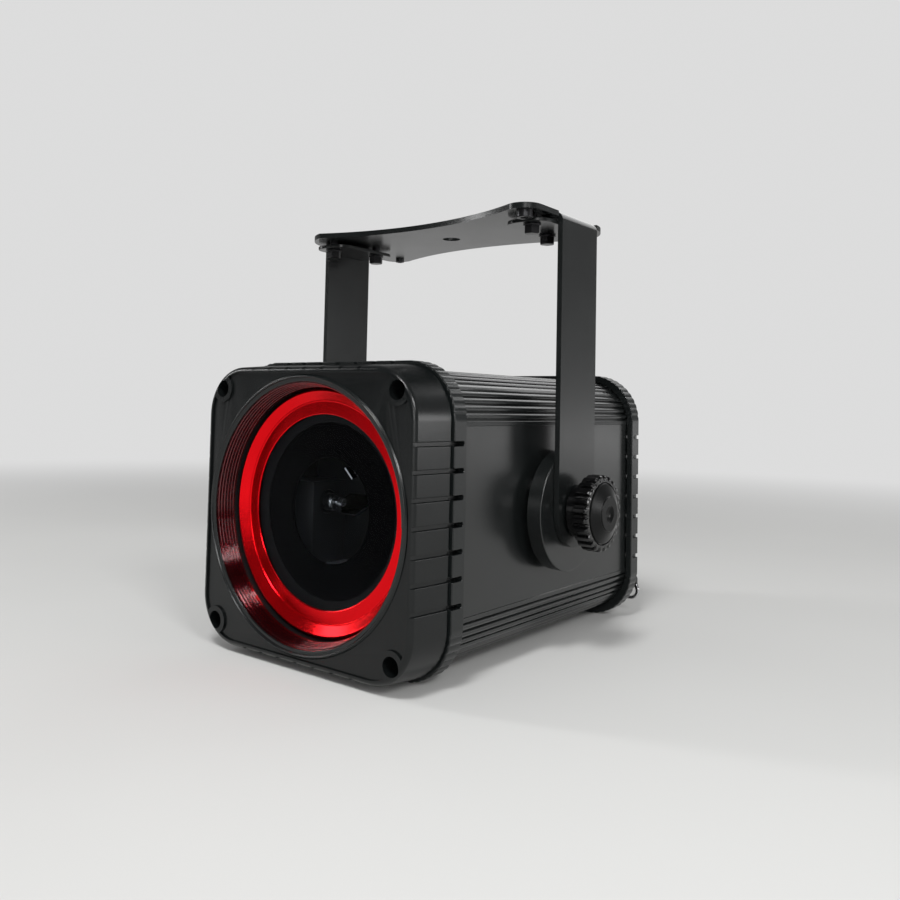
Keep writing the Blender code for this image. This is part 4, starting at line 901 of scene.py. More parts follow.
@dataclass
class FrontBezel:
    """The cast front plate with its grooved edge, its grained field and its threaded bore."""

    layout: Layout
    half: float = 75.0
    rear_half: float = 77.3
    depth: float = 24.8
    front_fillet: float = 2.5
    rear_fillet: float = 0.5
    field_depth: float = 1.1
    groove_pitch: float = 12.87
    groove_count: int = 7
    groove_section: tuple[Point2, ...] = (
        (1.45, 0.0), (1.24, 0.07), (1.15, 0.28), (1.10, 1.10), (0.90, 1.3),
        (-0.90, 1.3), (-1.10, 1.10), (-1.15, 0.28), (-1.24, 0.07), (-1.45, 0.0),
    )
    border: float = 2.8
    bead_outer: float = 71.5
    bead_crest: float = 70.2
    mouth: float = 67.5
    bore: float = 65.3
    cone_end: float = 11.8
    flange: float = 58.0
    flange_y: float = 24.4
    spigot: float = 70.0
    pad: float = 7.5
    well: float = 4.75
    clearance: float = 2.3
    seat_y: float = 18.0
    circle_steps: int = 192
    pad_steps: int = 48

    def half_at(self, y: float) -> float:
        """Half width of the drafted plate at a depth."""
        return self.half + (self.rear_half - self.half) * y / self.depth

    def outline(self, y: float, inset: float) -> list[Point3]:
        """One loop of the shell.

        Args:
            y: the loop's depth.
            inset: how far it lies inside the drafted side.

        Returns:
            The loop's points.
        """
        centre = self.layout.corner_centre
        reach = self.half_at(y)
        side: list[Point2] = arc((centre, centre), reach - inset - centre, 0.0, QUARTER, 18)
        middle = (self.groove_count - 1) / 2
        for index in range(self.groove_count):
            along = (middle - index) * self.groove_pitch
            for offset, deep in self.groove_section:
                side.append((along + offset, reach - max(inset, deep)))
        loop = []
        for quarter in range(4):
            turn = Matrix.Rotation(quarter * QUARTER, 2)
            for point in side:
                spot = turn @ Vector(point)
                loop.append((spot.x, y, spot.y))
        return loop

    def shell_loops(self) -> list[list[Point3]]:
        """Loops from the border over the side to the rear face."""
        stations = []
        for i in range(9):
            turn = QUARTER * i / 8
            stations.append(
                (self.front_fillet * (1 - math.cos(turn)), self.front_fillet * (1 - math.sin(turn)))
            )
        for i in range(4, -1, -1):
            turn = QUARTER * i / 4
            y = self.depth - self.rear_fillet * (1 - math.cos(turn))
            stations.append((y, self.rear_fillet * (1 - math.sin(turn))))
        return [self.outline(y, inset) for y, inset in stations]

    def sleeve_profile(self) -> list[Point2]:
        """The bead, the tapered bore and the rear flange, as a closed section."""
        sunk = self.field_depth + 1.0
        crest = self.bead_crest
        bead = [
            (self.bead_outer, sunk), (self.bead_outer - 0.15, 0.95), (crest + 0.75, 0.55), (crest + 0.5, 0.05)
        ]
        bead += [(crest + 0.25, -0.2), (crest - 0.05, -0.28), (crest - 0.35, -0.2), (crest - 0.6, 0.05)]
        bead += [(crest - 0.8, 0.5), (crest - 1.2, 0.65), (self.mouth + 0.4, 0.75), (self.mouth, 1.1)]
        rear = self.flange_y + 3.0
        bore = [(self.bore, self.cone_end), (self.bore, self.flange_y), (self.flange, self.flange_y)]
        back = [(self.flange, rear), (self.spigot, rear), (self.spigot, self.depth - 4.0)]
        return bead + bore + back + [(self.bead_outer, self.depth - 4.0)]

    def well_cutter(self, spot: Point2) -> Workpiece:
        """Counterbore and clearance hole of one screw."""
        profile = [(self.well, -4.0), (self.well, self.seat_y), (self.clearance, self.seat_y)]
        profile.append((self.clearance, self.depth + 2.0))
        return turned_piece("cutter", profile, Axis.Y, centre=(spot[0], 0.0, spot[1]), steps=self.pad_steps)

    def field_cutter(self) -> Workpiece:
        """The shallow field, with round islands for the four pads."""
        reach = self.half - self.border
        outline = rounded_rectangle(reach, reach, reach - self.layout.corner_centre, 18)
        shape = bmesh.new()
        loft(shape, [on_y(outline, -1.0), on_y(outline, self.field_depth)], capped=True)
        islands = []
        for x, z in self.layout.corners():
            islands.append(rod(Axis.Y, self.pad, -2.0, self.field_depth + 1.0, (x, 0.0, z), self.pad_steps))
        return Workpiece("field", shape).cut(*islands)

    def build(self) -> None:
        """Make the plate, its bore with the thread, and its screws."""
        shape = bmesh.new()
        loft(shape, self.shell_loops(), capped=True)
        piece = Workpiece("bezel_plate", shape)
        middle = rod(
            Axis.Y, self.bead_crest - 0.5, -5.0, self.depth + 5.0, (0.0, 0.0, 0.0), self.circle_steps
        )
        piece.cut(self.field_cutter())
        piece.cut(middle, *[self.well_cutter(spot) for spot in self.layout.corners()])
        piece.ease(0.35, 3, 60.0)
        piece.hand_over(Body.HOUSING, "cast_black", FACE_BLACK, ["front_bezel"], sharp=42.0)
        sleeve = turned_piece("bezel_bore", self.sleeve_profile(), Axis.Y, steps=self.circle_steps, ring=True)
        sleeve.hand_over(Body.HOUSING, "cast_black", CAST_BLACK, sharp=40.0)
        self.thread()
        self.screws()

    def thread(self) -> None:
        """The turned lining of the bore and the ridges of its thread, in dark red metal: a painted reflection
        of the red ring on the black bore.
        """
        near, far = 1.4, self.cone_end - 0.2
        mouth, end = self.mouth - 0.12, self.bore - 0.02
        profile = [(mouth, near), (end, far), (end + 0.12, far), (mouth + 0.12, near)]
        # A thin sheet on the bore that carries the painted red reflection.
        lining = turned_piece("bore_reflection_lining", profile, Axis.Y, steps=self.circle_steps, ring=True)
        lining.hand_over(Body.HOUSING, "cast_black", THREAD_RED_REFLECTION, sharp=30.0)
        ridge = Workpiece("bore_thread")
        ridge.grow(
            Nodes.thread, THREAD_RED_REFLECTION, turns=5.6, start_radius=self.mouth - 0.3, end_radius=self.bore + 0.05,
            length=self.cone_end - 2.4, ridge=0.55, start=1.9,
        )
        ridge.hand_over(Body.HOUSING, "cast_black", THREAD_RED_REFLECTION, sharp=80.0)

    def screws(self) -> None:
        """Four cap screws deep in the wells."""
        names = [f"front_screw_{index + 1}" for index in range(4)]
        screw = cap_screw("bezel_screws", 14.0, 1.0)
        spread_to_corners(screw, self.layout.screw_x)
        screw.hand_over(Body.HOUSING, "screw_black", BLACK_STEEL, names)


def cap_screw(name: str, head_y: float, drive: float) -> Workpiece:
    """A socket cap screw along Y at the origin.

    Args:
        name: the piece's name.
        head_y: the y of the head's face.
        drive: +1 if it drives towards +Y, else -1.

    Returns:
        The screw.
    """
    head, length, shank, reach = 3.5, 3.7, 2.0, 24.0
    profile = [
        (head - 0.4, 0.0), (head - 0.1, 0.12), (head, 0.45), (head, length), (shank, length), (shank, reach)
    ]
    shape = bmesh.new()
    lathe(shape, [(radius, head_y + drive * along) for radius, along in profile], Axis.Y, steps=40)
    screw = Workpiece(name, shape)
    socket = rod(Axis.Y, 1.75, head_y - drive, head_y + drive * 2.2, (0.0, 0.0, 0.0), steps=6)
    return screw.cut(socket).ease(0.12, 2, 40.0)


def spread_to_corners(piece: Workpiece, reach: float) -> None:
    """Copy a piece on the Y axis to the four corners of a square."""
    piece.grow(
        Nodes.copies, BLACK_STEEL, row_count=1, row_start=(reach, 0.0, reach), ring_count=4,
        ring_turn=(0.0, QUARTER, 0.0),
    )


@dataclass
class Window:
    """Red ring, glass and aperture plate."""

    ring_outer: float = 63.6
    ring_front: float = 13.8
    step: float = 57.9
    step_y: float = 17.6
    sight: float = 50.8
    lip_y: float = 17.5
    thread: float = 64.9
    rear: float = 21.7
    pocket: float = 54.6
    glass: float = 54.2
    glass_y: float = 17.8
    glass_depth: float = 3.2
    mask_y: float = 22.1
    mask_depth: float = 2.0
    aperture: float = 27.8
    steps: int = 192

    def build(self) -> None:
        """Make the ring, the glass and the plate behind it."""
        outer = [(self.ring_outer, self.ring_front + 0.6), (self.ring_outer - 0.25, self.ring_front + 0.1)]
        band = [(self.ring_outer - 0.7, self.ring_front), (self.ring_outer - 1.2, self.ring_front + 0.3)]
        band += [(self.step + 0.5, self.step_y - 0.45), (self.step + 0.2, self.step_y - 0.5)]
        step = [(self.step, self.step_y - 0.42), (self.step - 0.25, self.step_y - 0.1)]
        inner = [(self.step - 0.5, self.step_y), (self.sight + 0.8, self.lip_y - 0.32)]
        lip = [(self.sight + 0.45, self.lip_y - 0.36), (self.sight + 0.12, self.lip_y - 0.2)]
        lip += [(self.sight, self.lip_y), (self.pocket, self.lip_y + 0.05)]
        back = [(self.pocket, self.rear), (self.thread, self.rear), (self.thread, self.rear - 5.2)]
        profile = outer + band + step + inner + lip + back
        ring = turned_piece("red_ring", profile, Axis.Y, steps=self.steps, ring=True)
        ring.hand_over(Body.HOUSING, "red_anodised", RED, ["lens_ring"], sharp=30.0)
        far = self.glass_y + self.glass_depth
        pane = [(self.glass - 0.3, self.glass_y), (self.glass, self.glass_y + 0.3), (self.glass, far - 0.3)]
        pane.append((self.glass - 0.3, far))
        turned_piece("window_pane", pane, Axis.Y, steps=self.steps).hand_over(
            Body.HOUSING, "glass", GLASS, ["window_glass"], sharp=30.0
        )
        end = self.mask_y + self.mask_depth
        mask = [
            (self.aperture, self.mask_y + 0.3), (self.aperture + 0.3, self.mask_y), (self.thread, self.mask_y)
        ]
        mask += [(self.thread, end), (self.aperture + 0.9, end), (self.aperture, end - 0.9)]
        turned_piece("aperture_plate", mask, Axis.Y, steps=self.steps, ring=True).hand_over(
            Body.HOUSING, "mask_black", MASK, ["mask_plate"], sharp=30.0
        )


@dataclass
class Collar:
    """A slotted surround on one end of the body."""

    layout: Layout
    half: float = 79.0
    edge: float = 0.7
    crown: float = 0.4
    slot_width: float = 2.4
    slot_length: float = 7.9
    slot_count: int = 7
    slot_pitch: float = 12.87

    def outline(self, inset: float) -> list[Point2]:
        """Outer outline for an inset, with a low crown over each rib of the body's corners."""
        layout = self.layout
        centre = layout.corner_centre
        radius = self.half - inset - centre
        first, pitch, fine = layout.rib_first, layout.rib_pitch, 8
        corner = [(0.0, 0.0), (first * 0.5, 0.0)]
        for step in range((layout.rib_grooves - 1) * fine + 1):
            across = 2 * (step % fine) / fine - 1
            corner.append((first + step * pitch / fine, self.crown * abs(across) ** 2.4))
        corner += [(QUARTER - first * 0.5, 0.0), (QUARTER, 0.0)]
        points = []
        for quarter in range(4):
            turn = Matrix.Rotation(quarter * QUARTER, 2)
            for angle, sunk in corner:
                reach = radius - sunk
                spot = turn @ Vector((centre + reach * math.cos(angle), centre + reach * math.sin(angle)))
                points.append((spot.x, spot.y))
        return points

    def bore(self) -> list[Point2]:
        """Inner outline, whose scallops follow the body's ribs."""
        layout = self.layout
        centre = layout.body_half - layout.body_corner
        fine = 6
        first = layout.rib_first
        corner = [(0.0, layout.body_corner + 0.3)]
        for step in range((layout.rib_grooves - 1) * fine + 1):
            share = abs(math.sin(math.pi * step / fine))
            angle = first + step * layout.rib_pitch / fine
            corner.append((angle, layout.body_corner - 0.1 + 0.7 * share**0.6))
        corner.append((QUARTER, layout.body_corner + 0.3))
        points = []
        for quarter in range(4):
            turn = Matrix.Rotation(quarter * QUARTER, 2)
            for angle, radius in corner:
                spot = turn @ Vector((centre + radius * math.cos(angle), centre + radius * math.sin(angle)))
                points.append((spot.x, spot.y))
        return points

    def slots(self, opening: float, closed: float) -> Workpiece:
        """Cutters of all slots, in a row along each side."""
        way = 1.0 if closed > opening else -1.0
        half = self.slot_width / 2
        start = opening - way * 2.0
        outline = [(half, start), (-half, start)]
        outline += [(x, closed - way * half + way * y) for x, y in arc((0.0, 0.0), half, math.pi, 0.0, 8)]
        loops = [[(x, y, z) for x, y in outline] for z in (self.layout.body_half - 4.0, self.half + 3.0)]
        shape = bmesh.new()
        loft(shape, loops, capped=True)
        cutter = Workpiece("slot_cutter", shape)
        reach = (self.slot_count - 1) / 2 * self.slot_pitch
        return cutter.grow(
            Nodes.copies, CAST_BLACK, row_count=self.slot_count, row_start=(-reach, 0.0, 0.0),
            row_shift=(self.slot_pitch, 0.0, 0.0), ring_count=4, ring_turn=(0.0, QUARTER, 0.0),
        )

    def build(self, name: str, node: str, start: float, opening: float, closed: float) -> None:
        """Make one surround.

        Args:
            name: the piece's name.
            node: the CAD node that it stands for.
            start: the y of its front face.
            opening: the y where its slots are open.
            closed: the y where they end.
        """
        shape = bmesh.new()
        plate(shape, self.outline, start, start + self.layout.collar_depth, self.edge, 4)
        collar = Workpiece(name, shape)
        hole = bmesh.new()
        bore = self.bore()
        loft(hole, [on_y(bore, start - 3.0), on_y(bore, start + self.layout.collar_depth + 3.0)], capped=True)
        collar.cut(Workpiece("bore_cutter", hole), self.slots(opening, closed))
        collar.ease(0.2, 2, 62.0)
        collar.hand_over(Body.HOUSING, "cast_black", CAST_BLACK, [node], sharp=22.0)


@dataclass
class RibbedBody:
    """The extruded body: flat sides with a sunk panel, and ribbed corners."""

    layout: Layout
    start: float = 26.6
    end: float = 229.7
    wall: float = 4.0
    groove_floor: float = 27.2
    panel_recess: float = 0.3
    panel_half: float = 47.1
    groove_half: float = 0.55
    rib_section: tuple[Point2, ...] = (
        (1.42, 27.20), (1.47, 27.90), (1.44, 28.14), (1.30, 28.34),
        (1.05, 28.53), (0.70, 28.69), (0.35, 28.78),
        (0.0, 28.81),
    )

    def side(self) -> list[Point2]:
        """One corner and one side of the core's outline."""
        layout = self.layout
        centre = layout.body_half - layout.body_corner
        edge = self.groove_half / layout.body_corner
        first = layout.rib_first - edge
        outer = layout.body_corner
        start = (self.panel_half + 0.1 - centre) / outer
        points = arc((centre, centre), outer, start, first - 0.006, 2)
        points += arc((centre, centre), outer - 0.12, first, first, 1)[:1]
        points += arc((centre, centre), self.groove_floor, first + 0.004, QUARTER - first - 0.004, 36)
        points += arc((centre, centre), outer - 0.12, QUARTER - first, QUARTER - first, 1)[:1]
        reach = self.panel_half
        points += arc(
            (centre, centre), outer, QUARTER - first + 0.006, QUARTER - (reach + 0.1 - centre) / outer, 2
        )
        top = layout.body_half
        for along, drop in ((reach, 0.0), (reach - 0.15, 0.04), (reach - 0.35, self.panel_recess)):
            points.append((along, top - drop))
        for along, drop in ((-reach + 0.35, self.panel_recess), (-reach + 0.15, 0.04), (-reach, 0.0)):
            points.append((along, top - drop))
        return points

    def build(self) -> None:
        """Make the core with its cavity, and the ribs round its corners."""
        side = self.side()
        outline = []
        for quarter in range(4):
            turn = Matrix.Rotation(quarter * QUARTER, 2)
            outline += [tuple(turn @ Vector(point)) for point in side]
        inner_half = self.layout.body_half - self.wall
        inner = rounded_rectangle(inner_half, inner_half, self.layout.body_corner - self.wall, 10)
        shape = bmesh.new()
        outer_rows = loft(shape, [on_y(outline, self.start), on_y(outline, self.end)])
        inner_rows = loft(shape, [on_y(inner, self.start), on_y(inner, self.end)])
        for near, far in zip(outer_rows, inner_rows):
            fill_face(shape, [near, far])
        core = Workpiece("body_core", shape, weld=False)
        holes = []
        for side_x in (-1.0, 1.0):
            reach = (side_x * (inner_half - 5.0), side_x * (self.layout.body_half + 5.0))
            holes.append(rod(Axis.X, 4.3, *reach, (0.0, self.layout.pivot_y, 0.0)))
        core.cut(*holes)
        core.hand_over(Body.HOUSING, "body_black", BODY_BLACK, ["body_extrusion"], sharp=28.0)
        self.ribs()
        self.ports_and_ledges()

    def ribs(self) -> None:
        """One crowned rib, copied round the four corners."""
        half = list(self.rib_section)
        section = half + [(-u, r) for u, r in reversed(half[:-1])]
        shape = bmesh.new()
        loops = [[(r, y, u) for u, r in section] for y in (self.start, self.end)]
        loft(shape, loops, capped=True)
        rib = Workpiece("corner_ribs", shape)
        layout = self.layout
        centre = layout.body_half - layout.body_corner
        rib.grow(
            Nodes.copies, BODY_BLACK, row_count=layout.rib_grooves - 1, row_start=(centre, 0.0, centre),
            row_first_turn=(0.0, -(layout.rib_first + layout.rib_pitch / 2), 0.0),
            row_turn=(0.0, -layout.rib_pitch, 0.0), ring_count=4, ring_turn=(0.0, QUARTER, 0.0),
        )
        rib.hand_over(Body.HOUSING, "body_black", BODY_BLACK, sharp=40.0)

    def ports_and_ledges(self) -> None:
        """Screw ports along the corners, and the ledges of the base plate."""
        layout = self.layout
        port = turned_piece(
            "port", [(4.3, self.start), (4.3, self.end), (1.7, self.end), (1.7, self.start)], Axis.Y,
            steps=32, ring=True,
        )
        port.thing.name = "screw_ports"
        spread_to_corners(port, layout.screw_x)
        port.hand_over(Body.HOUSING, "body_black", BODY_BLACK)
        shape = bmesh.new()
        for side in (-1.0, 1.0):
            ends = sorted((side * 62.0, side * 71.2))
            box(shape, (ends[0], self.start, -40.3), (ends[1], self.end, -36.3))
        Workpiece("base_ledges", shape).ease(0.4).hand_over(Body.HOUSING, "body_black", BODY_BLACK)


@dataclass
class PivotDisc:
    """Friction disc between the body and an arm of the yoke."""

    layout: Layout
    radius: float = 33.4
    seat_radius: float = 26.5
    seat: float = 75.0
    step: float = 79.0
    face: float = 87.6
    bore: float = 4.3

    def build(self, name: str, node: str, side: float) -> None:
        """Make one disc on the given side."""
        corners = [(self.bore, self.seat), (self.seat_radius, self.seat), (self.seat_radius, self.step)]
        corners += [(self.radius, self.step), (self.radius, self.face), (self.bore, self.face)]
        profile = [(radius, side * along) for radius, along in eased(corners, 0.6, 4)]
        disc = turned_piece(
            name, profile, Axis.X, centre=(0.0, self.layout.pivot_y, 0.0), steps=144, ring=True
        )
        disc.hand_over(Body.HOUSING, "body_black", BODY_BLACK, [node], sharp=40.0)


# Yoke and knobs


@dataclass
class Yoke:
    """The bent strap, its stiffeners, nuts and bolts."""

    layout: Layout
    arm_inner: float = 87.9
    strap: float = 3.0
    arm_half: float = 20.0
    top: float = 164.3
    bend: float = 1.5
    waist_half: float = 33.5
    waist_radius: float = 178.0
    wing_x: float = 89.6
    wing_corner: float = 10.0
    round_corner: float = 28.8
    relief_width: float = 2.2
    relief_depth: float = 3.6
    hole: float = 5.5
    bolts_at: tuple[Point2, ...] = ((76.0, -27.5), (67.0, 4.0))
    nuts_at: tuple[tuple[float, ...], ...] = ((81.0, -43.5, 4.45, 4.0), (-77.0, 41.0, 3.0, 2.2))
    stiffener_drop: float = 1.8
    stiffener_thickness: float = 2.1
    stiffener_x: Point2 = (61.0, 87.6)
    stiffener_y: Point2 = (-35.5, 17.5)

    def meeting(self, rounded: bool) -> tuple[Vector, Vector]:
        """Centre of a corner's arc, and where it meets the waist.

        Args:
            rounded: the wide corner, not the wing's small one.

        Returns:
            Both points.
        """
        hub = Vector((0.0, self.waist_half + self.waist_radius))
        if not rounded:
            reach = self.waist_radius + self.wing_corner
            across = self.wing_x - self.wing_corner
            centre = Vector((across, hub.y - math.sqrt(reach**2 - across**2)))
            return centre, centre.lerp(hub, self.wing_corner / reach)
        centre = Vector((self.wing_x - self.round_corner, self.arm_half))
        gap = (centre - hub).length
        toward = (centre - hub) / gap
        along = (gap**2 + self.waist_radius**2 - self.round_corner**2) / (2 * gap)
        aside = math.sqrt(self.waist_radius**2 - along**2)
        return centre, hub + toward * along + Vector((-toward.y, toward.x)) * aside

    def quarter(self, rounded: bool) -> list[Point2]:
        """A quarter of the crossbar's outline at +x, from the waist's middle to the bend."""
        radius = self.round_corner if rounded else self.wing_corner
        centre, meet = self.meeting(rounded)
        notch = self.arm_half + self.relief_width
        last = math.asin(meet.x / self.waist_radius)
        hub = (0.0, self.waist_half + self.waist_radius)
        points = arc(hub, self.waist_radius, -QUARTER, last - QUARTER, 24)[:-1]
        start = math.atan2(meet.y - centre.y, meet.x - centre.x)
        end = math.asin(max(0.0, notch - centre.y) / radius)
        points += arc(tuple(centre), radius, start, end, 18)
        if centre.y > notch:
            points.append((self.wing_x, notch))
        bend_x = self.arm_inner - self.bend
        tip = bend_x - self.relief_depth
        relief = [(tip + 1.0, notch), (tip + 0.3, notch - 0.3), (tip, notch - 1.1), (tip + 0.3, notch - 1.9)]
        return points + relief + [(tip + 1.0, self.arm_half), (bend_x, self.arm_half)]

    def arm(self, shape: bmesh.types.BMesh, side: float) -> None:
        """Bend and arm at one end of the crossbar."""
        bend_x = self.arm_inner - self.bend
        bend_z = self.top - self.strap - self.bend
        half = self.arm_half
        sections = []
        for i in range(11):
            turn = QUARTER * (1 - i / 10)
            out = Vector((math.cos(turn), math.sin(turn)))
            inner = Vector((bend_x, bend_z)) + self.bend * out
            outer = Vector((bend_x, bend_z)) + (self.bend + self.strap) * out
            sections.append(((inner, outer), half))
        outer_x = self.arm_inner + self.strap
        for i in range(30):
            turn = QUARTER * i / 30
            z = -half * math.sin(turn)
            sections.append(((Vector((self.arm_inner, z)), Vector((outer_x, z))), half * math.cos(turn)))
        loops = []
        for (inner, outer), reach in sections:
            loop = [(inner, -reach), (outer, -reach), (outer, reach), (inner, reach)]
            loops.append([(side * spot.x, y, spot.y) for spot, y in loop])
        loft(shape, loops, capped=True)

    def build(self) -> None:
        """Make the strap, then the small parts under its ends."""
        right = self.quarter(True) + [(x, -y) for x, y in reversed(self.quarter(False))]
        outline = right + [(-x, -y) for x, y in right[1:-1]]
        shape = bmesh.new()
        loft(shape, [[(x, y, z) for x, y in outline] for z in (self.top - self.strap, self.top)], capped=True)
        for side in (-1.0, 1.0):
            self.arm(shape, side)
        self.weld(shape)
        bmesh.ops.translate(shape, verts=shape.verts, vec=(0.0, self.layout.pivot_y, 0.0))
        strap = Workpiece("yoke_strap", shape)
        y = self.layout.pivot_y
        low, high = self.top - self.strap - 1.0, self.top + 1.0
        tools = [rod(Axis.Z, self.hole, low, high, (0.0, y, 0.0), 64)]
        for sx in (-1.0, 1.0):
            tools.append(rod(Axis.X, 4.3, sx * 86.0, sx * 93.0, (0.0, y, 0.0)))
            for x, across in self.bolts_at:
                tools.append(rod(Axis.Z, 2.8, low, high, (sx * x, y + across, 0.0), 32))
        for x, across, radius, _ in self.nuts_at:
            tools.append(rod(Axis.Z, radius / 2, low, high, (x, y + across, 0.0), 32))
        strap.cut(*tools).flatten().ease(0.45, 3, 40.0)
        strap.hand_over(Body.YOKE, "strap_black", STRAP_BLACK, ["yoke"], settled=True)
        self.nuts()
        self.bolts()
        for name, side in (("left", -1.0), ("right", 1.0)):
            self.stiffener(name, side)

    def weld(self, shape: bmesh.types.BMesh) -> None:
        """Open the flat and the bends where they meet, and merge them into one skin."""
        bend_x = self.arm_inner - self.bend
        meeting = [f for f in shape.faces if all(abs(abs(v.co.x) - bend_x) < 1e-4 for v in f.verts)]
        bmesh.ops.delete(shape, geom=meeting, context="FACES")
        bmesh.ops.remove_doubles(shape, verts=shape.verts, dist=1e-3)

    def nuts(self) -> None:
        """Captive nuts pressed into the wings."""
        under = self.top - self.strap
        shape = bmesh.new()
        for x, across, radius, length in self.nuts_at:
            low, high, hole = under - length, under + 0.2, radius / 2
            profile = eased([(hole, low), (radius, low), (radius, high), (hole, high)], 0.45)
            lathe(shape, profile, Axis.Z, (x, self.layout.pivot_y + across, 0.0), 48, ring=True)
        Workpiece("captive_nuts", shape, weld=False).hand_over(Body.YOKE, "strap_black", BLACK_STEEL)

    def bolts(self) -> None:
        """Hexagon bolts, heads down, with a washer under each head."""
        seat = self.top - self.strap - self.stiffener_drop - self.stiffener_thickness - 0.3
        tip = self.top - 0.3
        shape = bmesh.new()
        lathe(shape, [(3.9, seat - 5.2), (4.6, seat - 4.8), (4.6, seat - 0.8)], Axis.Z, steps=6)
        lathe(shape, [(4.8, seat - 0.8), (5.0, seat - 0.6), (5.0, seat - 0.1), (4.8, seat)], Axis.Z, steps=40)
        lathe(shape, [(2.5, seat - 0.5), (2.5, tip - 0.5), (2.1, tip)], Axis.Z, steps=28)
        bolt = Workpiece("stiffener_bolts", shape, weld=False).ease(0.15, 2, 40.0)
        (x0, y0), (x1, y1) = self.bolts_at
        bolt.grow(
            Nodes.copies, BLACK_STEEL, row_count=2, row_start=(x0, y0, 0.0),
            row_shift=(x1 - x0, y1 - y0, 0.0),
        )
        twin = bolt.mirrored()
        names = [f"stiffener_bolt_{index + 1}" for index in range(4)]
        place = Matrix.Translation((0.0, self.layout.pivot_y, 0.0))
        for piece, owned in ((bolt, names[:2]), (twin, names[2:])):
            piece.thing.data.transform(place)
            piece.hand_over(Body.YOKE, "screw_black", BLACK_STEEL, owned)

    def stiffener(self, name: str, side: float) -> None:
        """Plate under one end of the crossbar."""
        high = self.top - self.strap - self.stiffener_drop
        low = high - self.stiffener_thickness
        inner, outer = self.stiffener_x
        front, rear = self.stiffener_y
        middle = side * (inner + outer) / 2
        y = self.layout.pivot_y
        outline = rounded_rectangle((outer - inner) / 2, (rear - front) / 2, 9.0, 14)
        shape = bmesh.new()
        across = y + (rear + front) / 2
        loft(shape, [[(middle + u, across + v, z) for u, v in outline] for z in (low, high)], capped=True)
        plate_piece = Workpiece(f"stiffener_plate_{name}", shape)
        tools = []
        for bolt_x, bolt_y in self.bolts_at:
            spot = (side * bolt_x, y + bolt_y, 0.0)
            tools.append(rod(Axis.Z, 2.8, low - 1.0, high + 1.0, spot, 32))
        plate_piece.cut(*tools).ease(0.4, 3, 40.0)
        plate_piece.hand_over(Body.YOKE, "strap_black", STRAP_BLACK, [f"stiffener_{name}"])


@dataclass
class Knob:
    """Fluted clamping knob with a matt domed cap."""

    layout: Layout
    base: float = 91.2
    neck: float = 14.5
    grip: float = 98.0
    face: float = 107.5
    radius: float = 20.7
    flutes: int = 24
    cap_radius: float = 16.15
    cap_top: float = 111.1
    cap_flat: float = 8.9

    def build(self, name: str, body: Body, side: float) -> None:
        """Make one knob."""
        corners = [(self.neck - 0.8, self.base), (self.neck, self.base + 0.8), (self.neck, self.grip - 0.2)]
        corners += [(19.0, self.grip), (self.radius, self.grip + 1.1), (self.radius, self.face - 1.3)]
        corners += [
            (self.radius - 0.4, self.face - 0.35), (self.radius - 1.4, self.face),
            (self.cap_radius + 0.9, self.face)
        ]
        corners += [(self.cap_radius + 0.5, self.face - 0.8), (self.cap_radius - 1.0, self.face - 0.8)]
        section = eased(corners, 0.6, 3, closed=False)
        rows = []
        for (r0, a0), (r1, a1) in zip(section, section[1:]):
            parts = max(1, round(abs(a1 - a0) / 1.2))
            rows += [(r0 + (r1 - r0) * i / parts, a0 + (a1 - a0) * i / parts) for i in range(parts)]
        rows.append(section[-1])
        grip = turned_piece(f"{name}_grip", [(r, side * a) for r, a in rows], Axis.X, steps=self.flutes * 16)
        grip.grow(Nodes.flutes, KNOB_GLOSS, flutes=float(self.flutes), depth=1.7, rim_from=17.1, rim_to=18.9)
        self.place(grip).hand_over(body, "knob_black", KNOB_GLOSS, [name], sharp=60.0)
        dome = [(self.cap_radius, self.face - 1.0), (self.cap_radius, self.face + 0.1)]
        flat, top = self.cap_flat, self.cap_top
        dome += [
            (self.cap_radius - 0.35, self.face + 0.5), (flat + 1.1, top - 0.55), (flat + 0.75, top - 0.6)
        ]
        dome += [(flat + 0.55, top - 0.5), (flat + 0.3, top - 0.1), (flat, top), (4.9, top)]
        dome += [(4.6, top - 0.08), (4.35, top - 0.3), (3.4, top - 0.95), (2.2, top - 1.4), (0.5, top - 1.6)]
        cap = turned_piece(f"{name}_cap", [(r, side * a) for r, a in dome], Axis.X, steps=96)
        self.place(cap).hand_over(body, "knob_black", KNOB_MATT, sharp=35.0)

    def place(self, piece: Workpiece) -> Workpiece:
        """Move a piece from the X axis to the pivot."""
        piece.thing.data.transform(Matrix.Translation((0.0, self.layout.pivot_y, 0.0)))
        return piece


# Inside


